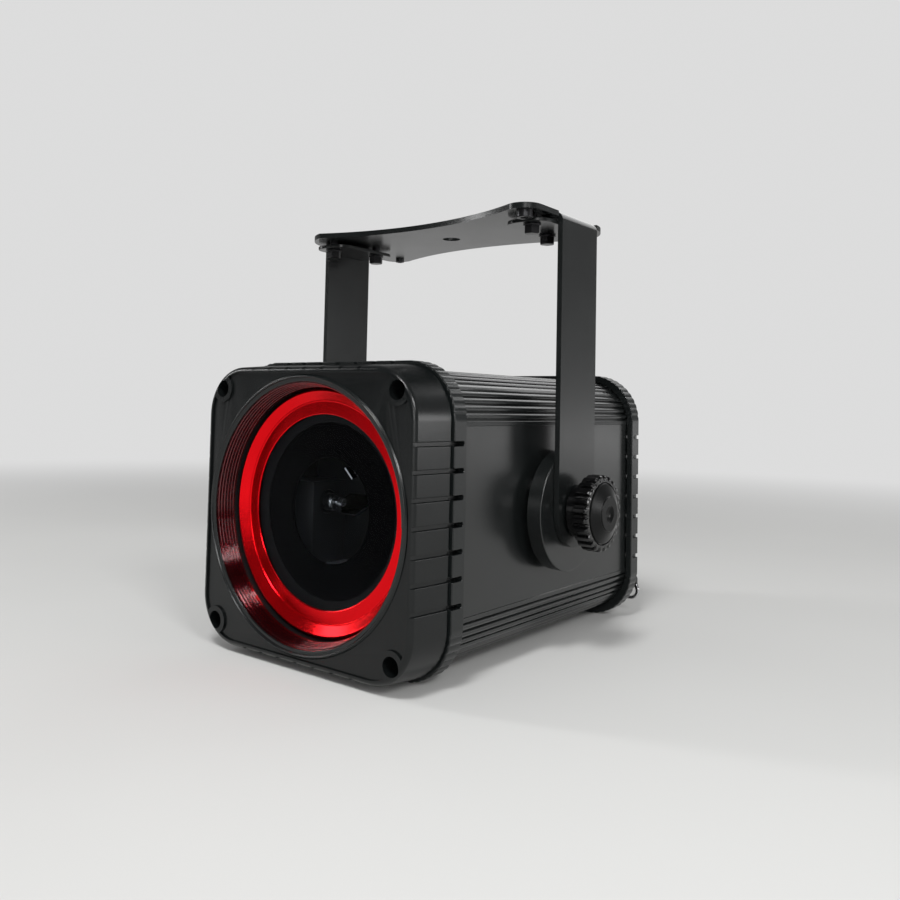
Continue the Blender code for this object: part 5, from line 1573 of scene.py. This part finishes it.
@dataclass
class Scanner:
    """Two motors with their mirrors on a machined mount."""

    y_place: Point3 = (0.4, 40.0, 2.0)
    x_place: Point3 = (0.4, 40.0, 19.0)
    y_mirror: Point3 = (20.2, 14.0, 1.2)
    x_mirror: Point3 = (9.0, 8.0, 1.2)
    motor: float = 6.5
    nose: float = 4.75
    nose_length: float = 6.0
    length: float = 36.0
    shaft: float = 1.5

    def motor_profile(self, start: float) -> list[Point2]:
        """A motor's section from its nose backwards."""
        shoulder = start + self.nose_length
        rear = start + self.length
        corners = [(1.8, start), (self.nose, start), (self.nose, shoulder), (self.motor, shoulder)]
        corners += [
            (self.motor, shoulder + 3.0), (self.motor - 0.4, shoulder + 3.3),
            (self.motor - 0.4, shoulder + 4.0)
        ]
        corners += [(self.motor, shoulder + 4.3), (self.motor, rear)]
        return eased(corners, 0.35, 2, closed=False)

    def build(self) -> None:
        """Make both motors and both mirrors."""
        x0, y0, low_z = self.y_place
        high_z = self.x_place[2]
        nose_x = x0 - self.y_mirror[0] / 2 - 3.0
        nose_y = y0 + self.x_mirror[0] / 2 + 3.0
        flat = [(radius, -along) for radius, along in self.motor_profile(-nose_x)]
        turned_piece("scan_motor_low", flat, Axis.X, centre=(0.0, y0, low_z), steps=64).hand_over(
            Body.HOUSING, "motor_black", BLACK_STEEL, ["galvo_motor_y"]
        )
        turned_piece(
            "scan_motor_high", self.motor_profile(nose_y), Axis.Y, centre=(x0, 0.0, high_z), steps=64
        ).hand_over(
            Body.HOUSING, "motor_black", BLACK_STEEL, ["galvo_motor_x"]
        )
        ring = [(2.2, nose_x + 0.25), (self.nose - 0.5, nose_x + 0.25), (self.nose + 0.12, nose_x - 0.5)]
        ring += [(self.nose + 0.12, nose_x - 1.3), (2.2, nose_x - 1.3)]
        turned_piece(
            "motor_bearing_low", ring, Axis.X, centre=(0.0, y0, low_z), steps=64, ring=True
        ).hand_over(
            Body.HOUSING, "plated_steel", PLATED, sharp=25.0
        )
        ring = [(2.2, nose_y - 0.25), (self.nose - 0.5, nose_y - 0.25), (self.nose + 0.12, nose_y + 0.5)]
        ring += [(self.nose + 0.12, nose_y + 1.3), (2.2, nose_y + 1.3)]
        turned_piece(
            "motor_bearing_high", ring, Axis.Y, centre=(x0, 0.0, high_z), steps=64, ring=True
        ).hand_over(
            Body.HOUSING, "plated_steel", PLATED, sharp=25.0
        )
        self.low_mirror(nose_x)
        self.high_mirror(nose_y)

    def low_mirror(self, nose_x: float) -> None:
        """The large six-sided mirror, its holder and its shaft."""
        length, width, thickness = self.y_mirror
        shoulder = length / 2 - width / 4
        outline = [(-length / 2, -2.0), (-length / 2, 2.0), (-shoulder, width / 2), (shoulder, width / 2)]
        outline += [(length / 2, 1.5), (length / 2, -1.5), (shoulder, -width / 2), (-shoulder, -width / 2)]
        shape = bmesh.new()
        loft(shape, [on_y(outline, -thickness / 2), on_y(outline, thickness / 2)], capped=True)
        tilt = Matrix.Rotation(-math.pi / 4, 4, "X")
        bmesh.ops.transform(shape, matrix=tilt, verts=shape.verts)
        pane = Workpiece("scan_mirror_low", shape).ease(0.2, 2, 40.0)
        pane.thing.data.transform(Matrix.Translation(self.y_place))
        pane.hand_over(Body.MIRROR_Y, "mirror", MIRROR, ["galvo_mirror_y"])
        start = nose_x - self.y_place[0] - self.nose_length + 1.0
        holder = [
            (self.shaft, start), (self.shaft, -length / 2 - 0.4), (2.6, -length / 2 - 0.4),
            (2.6, -length / 2 + 3.4)
        ]
        grip = turned_piece(
            "mirror_holder_low", eased(holder, 0.3, 2, False), Axis.X, centre=self.y_place, steps=32
        )
        grip.hand_over(Body.MIRROR_Y, "mirror", PLATED)

    def high_mirror(self, nose_y: float) -> None:
        """The small mirror, its holder and its shaft."""
        length, width, thickness = self.x_mirror
        shape = bmesh.new()
        box(shape, (-width / 2, -length / 2, -thickness / 2), (width / 2, length / 2, thickness / 2))
        bmesh.ops.transform(shape, matrix=Matrix.Rotation(math.pi / 4, 4, "Y"), verts=shape.verts)
        pane = Workpiece("scan_mirror_high", shape).ease(0.2, 2, 40.0)
        pane.thing.data.transform(Matrix.Translation(self.x_place))
        pane.hand_over(Body.MIRROR_X, "mirror", MIRROR, ["galvo_mirror_x"])
        end = nose_y - self.x_place[1] + self.nose_length - 1.0
        holder = [
            (2.4, length / 2 - 3.0), (2.4, length / 2 + 0.4), (self.shaft, length / 2 + 0.4),
            (self.shaft, end)
        ]
        grip = turned_piece(
            "mirror_holder_high", eased(holder, 0.3, 2, False), Axis.Y, centre=self.x_place, steps=32
        )
        grip.hand_over(Body.MIRROR_X, "mirror", PLATED)


# Rear cover


class SocketKind(Enum):
    """The three round panel sockets."""

    POWER = "power_inlet"
    DATA_IN = "data_in_socket"
    DATA_OUT = "data_out_socket"


@dataclass
class PanelSocket:
    """A round panel socket: flange, rim, keyed insert and contacts."""

    layout: Layout
    kind: SocketKind
    x: float
    z: float = -30.0
    half_x: float = 13.0
    half_z: float = 15.5
    depth: float = 2.0
    shell: float = 12.0
    bore: float = 9.6
    barrel: float = 11.0

    def build(self) -> None:
        """Make the flange and shell, then what is inside it."""
        near = self.layout.cover_face + 0.3
        mouth = near + self.depth
        rear = mouth - self.barrel
        dark = self.kind is SocketKind.POWER
        slot, finish = ("socket_black", MOULDED) if dark else ("plated_steel", PLATED)
        shape = bmesh.new()

        def outline(inset: float) -> list[Point2]:
            """The flange's outline for an inset."""
            return rounded_rectangle(
                self.half_x - inset, self.half_z - inset, 3.0 - inset, 8, (self.x, self.z)
            )

        plate(shape, outline, near, mouth, 0.4, 3)
        flange = Workpiece(self.kind.value + "_flange", shape)
        tools = [rod(Axis.Y, self.bore + 0.2, near - 1.0, mouth + 1.0, (self.x, 0.0, self.z), 96)]
        for sx, sz in ((-1.0, 1.0), (1.0, -1.0)):
            spot = (self.x + sx * 10.2, 0.0, self.z + sz * 12.6)
            tools.append(rod(Axis.Y, 1.9, mouth - 1.2, mouth + 1.0, spot, 32))
        flange.cut(*tools).ease(0.15, 2, 50.0)
        flange.hand_over(Body.HOUSING, slot, finish, [self.kind.value])
        self.barrel_and_contacts(mouth, rear, slot, finish)
        self.fixings(mouth)

    def barrel_and_contacts(self, mouth: float, rear: float, slot: str, finish: Finish) -> None:
        """The shell, its insert and the ring of contacts."""
        name = self.kind.value
        floor = rear + 1.5
        corners = [(self.shell, rear), (self.shell, mouth - 0.6), (self.bore + 1.3, mouth - 0.6)]
        corners += [
            (self.bore + 1.3, mouth + 0.7), (self.bore, mouth + 0.7), (self.bore, floor), (0.4, floor),
            (0.4, rear)
        ]
        centre = (self.x, 0.0, self.z)
        shell = turned_piece(
            name + "_shell", eased(corners, 0.3, 3), Axis.Y, centre=centre, steps=96, ring=True
        )
        shell.hand_over(Body.HOUSING, slot, finish)
        insert = [(self.bore - 0.1, floor), (self.bore - 0.1, floor + 0.8), (self.bore - 0.7, floor + 0.8)]
        insert.append((self.bore - 0.7, floor + 0.9))
        turned_piece(name + "_insert", insert, Axis.Y, centre=centre, steps=64).hand_over(
            Body.HOUSING, "socket_black", MOULDED
        )
        shape = bmesh.new()
        if self.kind is SocketKind.POWER:
            box(shape, (-0.5, floor, 3.4), (0.5, floor + 5.5, 6.4))
        else:
            lathe(
                shape, [(0.95, floor), (0.95, floor + 5.0), (0.5, floor + 5.6)], Axis.Y, (0.0, 0.0, 5.0), 20
            )
        pins = Workpiece(name + "_contacts", shape).ease(0.15, 2, 40.0)
        pins.grow(Nodes.copies, CONTACT, ring_count=3, ring_turn=(0.0, FULL_TURN / 3, 0.0))
        pins.thing.data.transform(Matrix.Translation((self.x, 0.0, self.z)))
        pins.hand_over(Body.HOUSING, "plated_steel", CONTACT)
        key = bmesh.new()
        box(
            key, (self.x - 1.2, floor, self.z - self.bore - 0.5),
            (self.x + 1.2, mouth + 0.2, self.z - self.bore + 1.3)
        )
        Workpiece(name + "_keyway", key).ease(0.3, 2).hand_over(Body.HOUSING, slot, finish)

    def fixings(self, mouth: float) -> None:
        """Two screws across the flange's corners."""
        screw = turned_piece(
            self.kind.value + "_fixings",
            [(1.5, mouth - 1.3), (1.8, mouth - 0.5), (1.8, mouth + 0.1), (1.3, mouth + 0.5)],
            Axis.Y, steps=32,
        )
        cross = bmesh.new()
        box(cross, (-1.0, mouth - 0.1, -0.22), (1.0, mouth + 1.0, 0.22))
        other = bmesh.new()
        box(other, (-0.22, mouth - 0.1, -1.0), (0.22, mouth + 1.0, 1.0))
        screw.cut(Workpiece("cross", cross), Workpiece("cross", other))
        screw.grow(
            Nodes.copies, BLACK_STEEL, row_count=2, row_start=(self.x - 10.2, 0.0, self.z + 12.6),
            row_shift=(20.4, 0.0, -25.2),
        )
        screw.hand_over(Body.HOUSING, "screw_black", BLACK_STEEL)


@dataclass
class RearCover:
    """The cast cover and what is fitted on it."""

    layout: Layout
    key: Point2 = (-52.0, 31.0)
    lamp: Point2 = (-52.0, 8.0)
    vent: Point2 = (52.0, 31.0)
    panel: Point3 = (70.0, 40.0, 2.5)
    panel_z: float = 29.0
    button_z: float = 18.0
    button_pitch: float = 15.0
    button_radius: float = 3.9
    eye: Point2 = (68.5, -64.5)
    sockets: dict[SocketKind, float] = field(
        default_factory=lambda: {SocketKind.POWER: 44.0, SocketKind.DATA_IN: 6.0, SocketKind.DATA_OUT: -28.0}
    )

    def outline(self, inset: float) -> list[Point2]:
        """The cover's outline for an inset."""
        reach = self.layout.body_half - inset
        return rounded_rectangle(reach, reach, self.layout.body_corner - inset, 18)

    def build(self) -> None:
        """Make the cover and dress it with its equipment."""
        self.cover()
        for kind, x in self.sockets.items():
            PanelSocket(self.layout, kind, x).build()
        self.key_switch()
        self.lamp_and_vent()
        self.menu()
        self.safety_eye()

    def cover(self) -> None:
        """The cast plate with its wells and cut-outs, and its four screws."""
        near, face = self.layout.cover_y, self.layout.cover_face
        shape = bmesh.new()
        plate(shape, self.outline, near, face, 1.3, 5)
        cover = Workpiece("cover_plate", shape)
        tools = []
        for x, z in self.layout.corners():
            tools.append(rod(Axis.Y, 3.8, face - 2.5, face + 1.0, (x, 0.0, z)))
            tools.append(rod(Axis.Y, 2.3, near - 1.0, face - 2.0, (x, 0.0, z)))
        for x in self.sockets.values():
            tools.append(rod(Axis.Y, 12.3, near - 1.0, face + 1.0, (x, 0.0, -30.0), 64))
        for (x, z), radius in ((self.key, 8.3), (self.lamp, 2.8), (self.vent, 4.3)):
            tools.append(rod(Axis.Y, radius, near - 1.0, face + 1.0, (x, 0.0, z)))
        slot = bmesh.new()
        reach = 1.5 * self.button_pitch + self.button_radius + 0.3
        high = self.button_radius + 0.3
        box(slot, (-reach, near - 1.0, self.button_z - high), (reach, face + 1.0, self.button_z + high))
        tools.append(Workpiece("slot", slot))
        cover.cut(*tools).ease(0.3, 2, 50.0)
        cover.hand_over(Body.HOUSING, "cast_black", CAST_BLACK, ["rear_cover"])
        screw = cap_screw("cover_screws", face + 1.2, -1.0)
        spread_to_corners(screw, self.layout.screw_x)
        names = [f"rear_screw_{index + 1}" for index in range(4)]
        screw.hand_over(Body.HOUSING, "screw_black", BLACK_STEEL, names)

    def key_switch(self) -> None:
        """Lock body and the plug that turns in it."""
        x, z = self.key
        face = self.layout.cover_face
        inner = self.layout.cover_y - 6.0
        corners = [(5.5, inner), (8.0, inner), (8.0, face + 0.3), (9.5, face + 0.3), (9.5, face + 2.0)]
        corners += [(8.5, face + 3.0), (5.5, face + 3.0)]
        lock = turned_piece(
            "lock_body", eased(corners, 0.3, 3), Axis.Y, centre=(x, 0.0, z), steps=64, ring=True
        )
        lock.hand_over(Body.HOUSING, "plated_steel", PLATED, ["key_switch"])
        tip = face + 3.0
        plug = turned_piece(
            "lock_plug", [(5.2, inner + 0.3), (5.2, tip - 0.3), (4.9, tip)], Axis.Y,
            centre=(x, 0.0, z), steps=64,
        )
        slot = bmesh.new()
        box(slot, (x - 0.8, tip - 4.0, z - 3.2), (x + 0.8, tip + 1.0, z + 3.2))
        plug.cut(Workpiece("slot", slot)).ease(0.12, 2, 40.0)
        plug.hand_over(Body.KEY, "plated_steel", PLATED, ["key_rotor"])

    def lamp_and_vent(self) -> None:
        """Emission lamp and venting plug."""
        x, z = self.lamp
        face = self.layout.cover_face + 0.3
        dome = [(2.5, self.layout.cover_y), (2.5, face + 0.4)] + [
            (2.5 * math.cos(t), face + 0.4 + 2.0 * math.sin(t)) for t in (0.3, 0.6, 0.9, 1.2, 1.45)
        ]
        turned_piece("lamp_dome", dome, Axis.Y, centre=(x, 0.0, z), steps=40).hand_over(
            Body.HOUSING, "led_red", LAMP_RED, ["emission_led"]
        )
        corners = [(2.6, face), (3.6, face), (3.6, face + 1.0), (2.6, face + 1.0)]
        turned_piece(
            "lamp_rim", eased(corners, 0.25), Axis.Y, centre=(x, 0.0, z), steps=40, ring=True
        ).hand_over(
            Body.HOUSING, "plated_steel", PLATED
        )
        x, z = self.vent
        shape = bmesh.new()
        lathe(shape, [(8.0, face), (8.0, face + 2.2), (7.4, face + 2.5)], Axis.Y, (x, 0.0, z), 6)
        lathe(shape, [(5.6, face + 2.3), (5.6, face + 3.3), (5.2, face + 3.6)], Axis.Y, (x, 0.0, z), 48)
        vent = Workpiece("vent_plug", shape, weld=False).ease(0.2, 2, 40.0)
        vent.hand_over(Body.HOUSING, "socket_black", MOULDED, ["pressure_vent"])
        hole = turned_piece(
            "vent_pores", [(0.5, face + 3.4), (0.5, face + 3.65)], Axis.Y, centre=(0.0, 0.0, 3.4), steps=12
        )
        hole.grow(Nodes.copies, RUBBER, ring_count=6, ring_turn=(0.0, FULL_TURN / 6, 0.0))
        hole.thing.data.transform(Matrix.Translation((x, 0.0, z)))
        hole.hand_over(Body.HOUSING, "rubber", RUBBER)

    def menu(self) -> None:
        """Display panel with its sunk screen, and four sprung keys."""
        width, height, depth = self.panel
        near = self.layout.cover_face + 0.3
        far = near + depth
        shape = bmesh.new()

        def outline(inset: float) -> list[Point2]:
            """The panel's outline for an inset."""
            return rounded_rectangle(
                width / 2 - inset, height / 2 - inset, 3.0 - inset, 8, (0.0, self.panel_z)
            )

        plate(shape, outline, near, far, 0.5, 3)
        panel = Workpiece("menu_panel", shape)
        window = bmesh.new()
        middle = self.panel_z + 7.0
        box(window, (-26.0, far - 0.6, middle - 8.5), (26.0, far + 1.0, middle + 8.5))
        tools = [Workpiece("window", window)]
        places = [(index - 1.5) * self.button_pitch for index in range(4)]
        for x in places:
            tools.append(
                rod(Axis.Y, self.button_radius + 0.3, near - 1.0, far + 1.0, (x, 0.0, self.button_z))
            )
        panel.cut(*tools).ease(0.2, 2, 50.0)
        panel.hand_over(Body.HOUSING, "screen", MOULDED, ["menu_display"])
        glass = bmesh.new()
        box(glass, (-25.7, far - 0.59, middle - 8.2), (25.7, far - 0.2, middle + 8.2))
        Workpiece("menu_screen", glass).ease(0.15, 2).hand_over(Body.HOUSING, "screen", SCREEN)
        radius = self.button_radius
        for index, x in enumerate(places):
            top = far + 2.4
            profile = [
                (radius, near - 3.0), (radius, top - 0.8), (radius - 0.2, top - 0.3), (radius - 0.8, top)
            ]
            profile += [(radius - 1.6, top - 0.12), (0.4, top - 0.35)]
            key = turned_piece(
                f"menu_key_cap_{index + 1}", profile, Axis.Y, centre=(x, 0.0, self.button_z), steps=48
            )
            key.hand_over(f"menu_key_{index + 1}", "rubber", KEY_RUBBER, [f"menu_button_{index + 1}"])

    def safety_eye(self) -> None:
        """Joggled strap with a ring for the safety cable."""
        x, z = self.eye
        foot = self.layout.cover_face + 0.3
        eye_y = self.layout.cover_face + 4.5
        top, lower, thick = -40.0, -52.0, 2.5
        side_view = [(foot, top), (foot, lower), (eye_y, lower - 4.5), (eye_y, z), (eye_y + thick, z)]
        side_view += [(eye_y + thick, lower - 4.5), (foot + thick, lower), (foot + thick, top)]
        shape = bmesh.new()
        loft(shape, [[(x + side, y, height) for y, height in side_view] for side in (-4.5, 4.5)], capped=True)
        strap = Workpiece("safety_strap", shape).cut(
            rod(Axis.Y, 4.2, eye_y - 1.0, eye_y + 4.0, (x, 0.0, z), 48)
        )
        strap.ease(0.4, 3, 30.0).hand_over(Body.HOUSING, "plated_steel", BLACK_STEEL, ["safety_eye"])
        corners = [(3.9, eye_y), (6.2, eye_y), (6.2, eye_y + thick), (3.9, eye_y + thick)]
        ring = turned_piece(
            "safety_ring", eased(corners, 0.7, 4), Axis.Y, centre=(x, 0.0, z), steps=64, ring=True
        )
        ring.hand_over(Body.HOUSING, "plated_steel", PLATED)
        screw = bmesh.new()
        head = [
            (3.5, foot + thick - 0.3), (3.5, foot + thick + 1.0), (3.1, foot + thick + 1.5),
            (2.2, foot + thick + 1.6)
        ]
        lathe(screw, head, Axis.Y, (x, 0.0, -46.0), 40)
        piece = Workpiece("safety_strap_screw", screw)
        piece.cut(rod(Axis.Y, 1.6, foot + thick + 0.2, foot + thick + 3.0, (x, 0.0, -46.0), 6))
        piece.hand_over(Body.HOUSING, "screw_black", BLACK_STEEL)


# Studio


@dataclass
class Lamp:
    """A soft rectangular lamp."""

    name: str
    place: Point3
    size: Point2
    power: float
    target: Point3 = (0.0, -0.02, 0.09)
    colour: Colour = (1.0, 1.0, 1.0)

    def light(self) -> None:
        """Hang the lamp and point it."""
        data = bpy.data.lights.new(self.name, "AREA")
        data.shape = "RECTANGLE"
        data.size, data.size_y = self.size
        data.energy = self.power
        data.color = self.colour
        lamp = bpy.data.objects.new(self.name, data)
        lamp.location = self.place
        lamp.rotation_euler = (Vector(self.target) - Vector(self.place)).to_track_quat("-Z", "Y").to_euler()
        bpy.context.scene.collection.objects.link(lamp)


@dataclass
class Studio:
    """Floor, lamps, world and the camera at the photograph's angle."""

    camera_place: Point3 = (0.32296, -0.42667, 0.13609)
    yaw: float = math.radians(38.473)
    pitch: float = math.radians(2.888)
    roll: float = math.radians(1.270)
    lens: float = 34.39
    shift: Point2 = (0.0266, -0.0988)
    floor_colour: Colour = (0.62, 0.62, 0.61)
    pale: float = 0.72
    dim: float = 0.10
    daylight: float = 0.30
    fade: Point2 = (0.45, 1.6)
    lift: Point2 = (-0.10, 0.20)
    upper: float = 0.35
    floor_reach: float = 9.0
    room: Point2 = (-0.35, 0.45)

    def build(self) -> None:
        """Set up the whole studio."""
        self.floor()
        self.world()
        self.camera()
        for lamp in (
            Lamp("key_softbox", (0.26, -0.64, 1.12), (0.26, 0.26), 8.0),
            Lamp("right_softbox", (0.95, -0.55, 0.75), (0.26, 0.26), 5.0),
            Lamp("left_strip", (-1.00, -0.50, 0.60), (0.12, 0.7), 3.5),
            Lamp("rim_softbox", (0.05, 1.15, 0.90), (1.4, 0.45), 3.4),
            Lamp("side_strip", (1.15, 0.55, 0.22), (0.5, 0.2), 3.0),
            Lamp("front_fill", (0.75, -1.00, 0.32), (0.35, 0.35), 2.6),
            Lamp("low_strip", (1.10, 1.80, 0.05), (0.9, 0.08), 0.3, (0.07, 0.06, 0.02)),
        ):
            lamp.light()
        bpy.context.scene.view_settings.view_transform = "Standard"

    def floor(self) -> None:
        """A wide pale floor that fades into the pale surroundings."""
        mesh = bpy.data.meshes.new("floor")
        reach = self.floor_reach
        mesh.from_pydata(
            [(-reach, -reach, 0), (reach, -reach, 0), (reach, reach, 0), (-reach, reach, 0)], [],
            [(0, 1, 2, 3)]
        )
        floor = bpy.data.objects.new("floor", mesh)
        bpy.context.scene.collection.objects.link(floor)
        paper = Finish(
            "floor_paper", self.floor_colour, 0.85, specular=0.1, grain=3.0, patch=400.0, drift=0.02
        ).material()
        tree = paper.node_tree
        place = tree.nodes.new("ShaderNodeTexCoord")
        far = tree.nodes.new("ShaderNodeVectorMath")
        far.operation = "LENGTH"
        tree.links.new(place.outputs["Object"], far.inputs[0])
        fade = tree.nodes.new("ShaderNodeMapRange")
        fade.interpolation_type = "SMOOTHSTEP"
        fade.inputs["From Min"].default_value, fade.inputs["From Max"].default_value = self.fade
        tree.links.new(far.outputs["Value"], fade.inputs["Value"])
        share = tree.nodes.new("ShaderNodeMath")
        share.operation = "MULTIPLY"
        tree.links.new(fade.outputs["Result"], share.inputs[0])
        tree.links.new(self.looking(tree), share.inputs[1])
        glow = tree.nodes.new("ShaderNodeEmission")
        glow.inputs["Strength"].default_value = self.pale
        mixed = tree.nodes.new("ShaderNodeMixShader")
        tree.links.new(share.outputs[0], mixed.inputs[0])
        tree.links.new(tree.nodes["Principled BSDF"].outputs[0], mixed.inputs[1])
        tree.links.new(glow.outputs[0], mixed.inputs[2])
        tree.links.new(mixed.outputs[0], tree.nodes["Material Output"].inputs["Surface"])
        mesh.materials.append(paper)

    @staticmethod
    def looking(tree: bpy.types.NodeTree) -> bpy.types.NodeSocket:
        """Whether a ray is one of sight, gloss or glass, and not of light."""
        path = tree.nodes.new("ShaderNodeLightPath")
        seen = path.outputs["Is Camera Ray"]
        for name in ("Is Glossy Ray", "Is Transmission Ray"):
            either = tree.nodes.new("ShaderNodeMath")
            either.operation = "MAXIMUM"
            tree.links.new(seen, either.inputs[0])
            tree.links.new(path.outputs[name], either.inputs[1])
            seen = either.outputs[0]
        return seen

    def world(self) -> None:
        """Pale surroundings for sight, gloss and glass, and a lower level for light."""
        world = bpy.data.worlds.new("studio")
        world.use_nodes = True
        tree = world.node_tree
        background = tree.nodes["Background"]
        background.inputs["Color"].default_value = (1.0, 1.0, 1.0, 1.0)
        place = tree.nodes.new("ShaderNodeTexCoord")
        apart = tree.nodes.new("ShaderNodeSeparateXYZ")
        tree.links.new(place.outputs["Generated"], apart.inputs[0])
        room = tree.nodes.new("ShaderNodeMapRange")
        room.interpolation_type = "SMOOTHSTEP"
        room.inputs["From Min"].default_value, room.inputs["From Max"].default_value = self.room
        room.inputs["To Min"].default_value = self.dim
        room.inputs["To Max"].default_value = self.pale
        tree.links.new(apart.outputs["Y"], room.inputs["Value"])
        lift = tree.nodes.new("ShaderNodeMapRange")
        lift.interpolation_type = "SMOOTHSTEP"
        lift.inputs["From Min"].default_value, lift.inputs["From Max"].default_value = self.lift
        lift.inputs["To Min"].default_value = 1.0
        lift.inputs["To Max"].default_value = self.upper
        tree.links.new(apart.outputs["Z"], lift.inputs["Value"])
        wall = tree.nodes.new("ShaderNodeMath")
        wall.operation = "MULTIPLY"
        tree.links.new(room.outputs["Result"], wall.inputs[0])
        tree.links.new(lift.outputs["Result"], wall.inputs[1])
        path = tree.nodes.new("ShaderNodeLightPath")
        seen = tree.nodes.new("ShaderNodeMapRange")
        seen.inputs["To Max"].default_value = self.pale
        tree.links.new(path.outputs["Is Camera Ray"], seen.inputs["Value"])
        tree.links.new(wall.outputs[0], seen.inputs["To Min"])
        level = tree.nodes.new("ShaderNodeMapRange")
        level.inputs["To Min"].default_value = self.daylight
        tree.links.new(self.looking(tree), level.inputs["Value"])
        tree.links.new(seen.outputs["Result"], level.inputs["To Max"])
        tree.links.new(level.outputs["Result"], background.inputs["Strength"])
        bpy.context.scene.world = world

    def camera(self) -> None:
        """The camera, solved on the square plate and the round window."""
        cos_pitch = math.cos(self.pitch)
        forward = Vector(
            (-math.sin(self.yaw) * cos_pitch, math.cos(self.yaw) * cos_pitch, math.sin(self.pitch))
        )
        right = Vector((math.cos(self.yaw), math.sin(self.yaw), 0.0))
        up = right.cross(forward)
        side = right * math.cos(self.roll) + up * math.sin(self.roll)
        top = up * math.cos(self.roll) - right * math.sin(self.roll)
        data = bpy.data.cameras.new("camera")
        data.sensor_width = 36.0
        data.lens = self.lens
        data.shift_x, data.shift_y = self.shift
        camera = bpy.data.objects.new("camera", data)
        turn = Matrix((side, top, -forward)).transposed().to_4x4()
        camera.matrix_world = Matrix.Translation(self.camera_place) @ turn
        bpy.context.scene.collection.objects.link(camera)
        bpy.context.scene.camera = camera


# Assembly


@dataclass
class CarriedNodes:
    """CAD nodes whose shape is kept and only dressed."""

    finishes: dict[str, Finish] = field(
        default_factory=lambda: {
            "front_gasket": RUBBER,
            "rear_gasket": RUBBER,
            "window_seal": RUBBER,
            "base_plate": ALUMINIUM,
            "galvo_mount": DARK_ANODISED,
            "laser_module_red": DARK_ANODISED,
            "laser_module_green": DARK_ANODISED,
            "laser_module_blue": DARK_ANODISED,
            "beam_combiner_1": ALUMINIUM,
            "beam_combiner_2": ALUMINIUM,
            "galvo_driver_board": BOARD,
            "power_supply": PLATED,
            "knob_stud_left": PLATED,
            "knob_stud_right": PLATED,
        }
    )

    def dress(self, nodes: dict[str, bpy.types.Object]) -> None:
        """Give each kept node its finish."""
        for name, finish in self.finishes.items():
            for slot in nodes[name].material_slots:
                slot.material = finish.material()
            LOG.info("%s dressed in %s", name, finish.name)


def main() -> None:
    """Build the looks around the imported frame."""
    logging.basicConfig(level=logging.INFO, format="%(name)s: %(message)s")
    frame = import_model()
    layout = Layout()
    Nodes.build()
    CarriedNodes().dress(frame["nodes"])
    FrontBezel(layout).build()
    Window().build()
    collar = Collar(layout)
    slot_end = layout.collar_y + collar.slot_length
    collar.build("collar_front", "front_collar", layout.collar_y, layout.collar_y, slot_end)
    rear = layout.housing_depth
    collar.build("collar_rear", "rear_collar", rear - layout.collar_depth, rear, rear - collar.slot_length)
    RibbedBody(layout).build()
    disc = PivotDisc(layout)
    disc.build("friction_disc_left", "pivot_disc_left", -1.0)
    disc.build("friction_disc_right", "pivot_disc_right", 1.0)
    Yoke(layout).build()
    knob = Knob(layout)
    knob.build("knob_left", Body.LEFT_KNOB, -1.0)
    knob.build("knob_right", Body.RIGHT_KNOB, 1.0)
    Scanner().build()
    RearCover(layout).build()
    Studio().build()


if __name__ == "__main__":
    main()
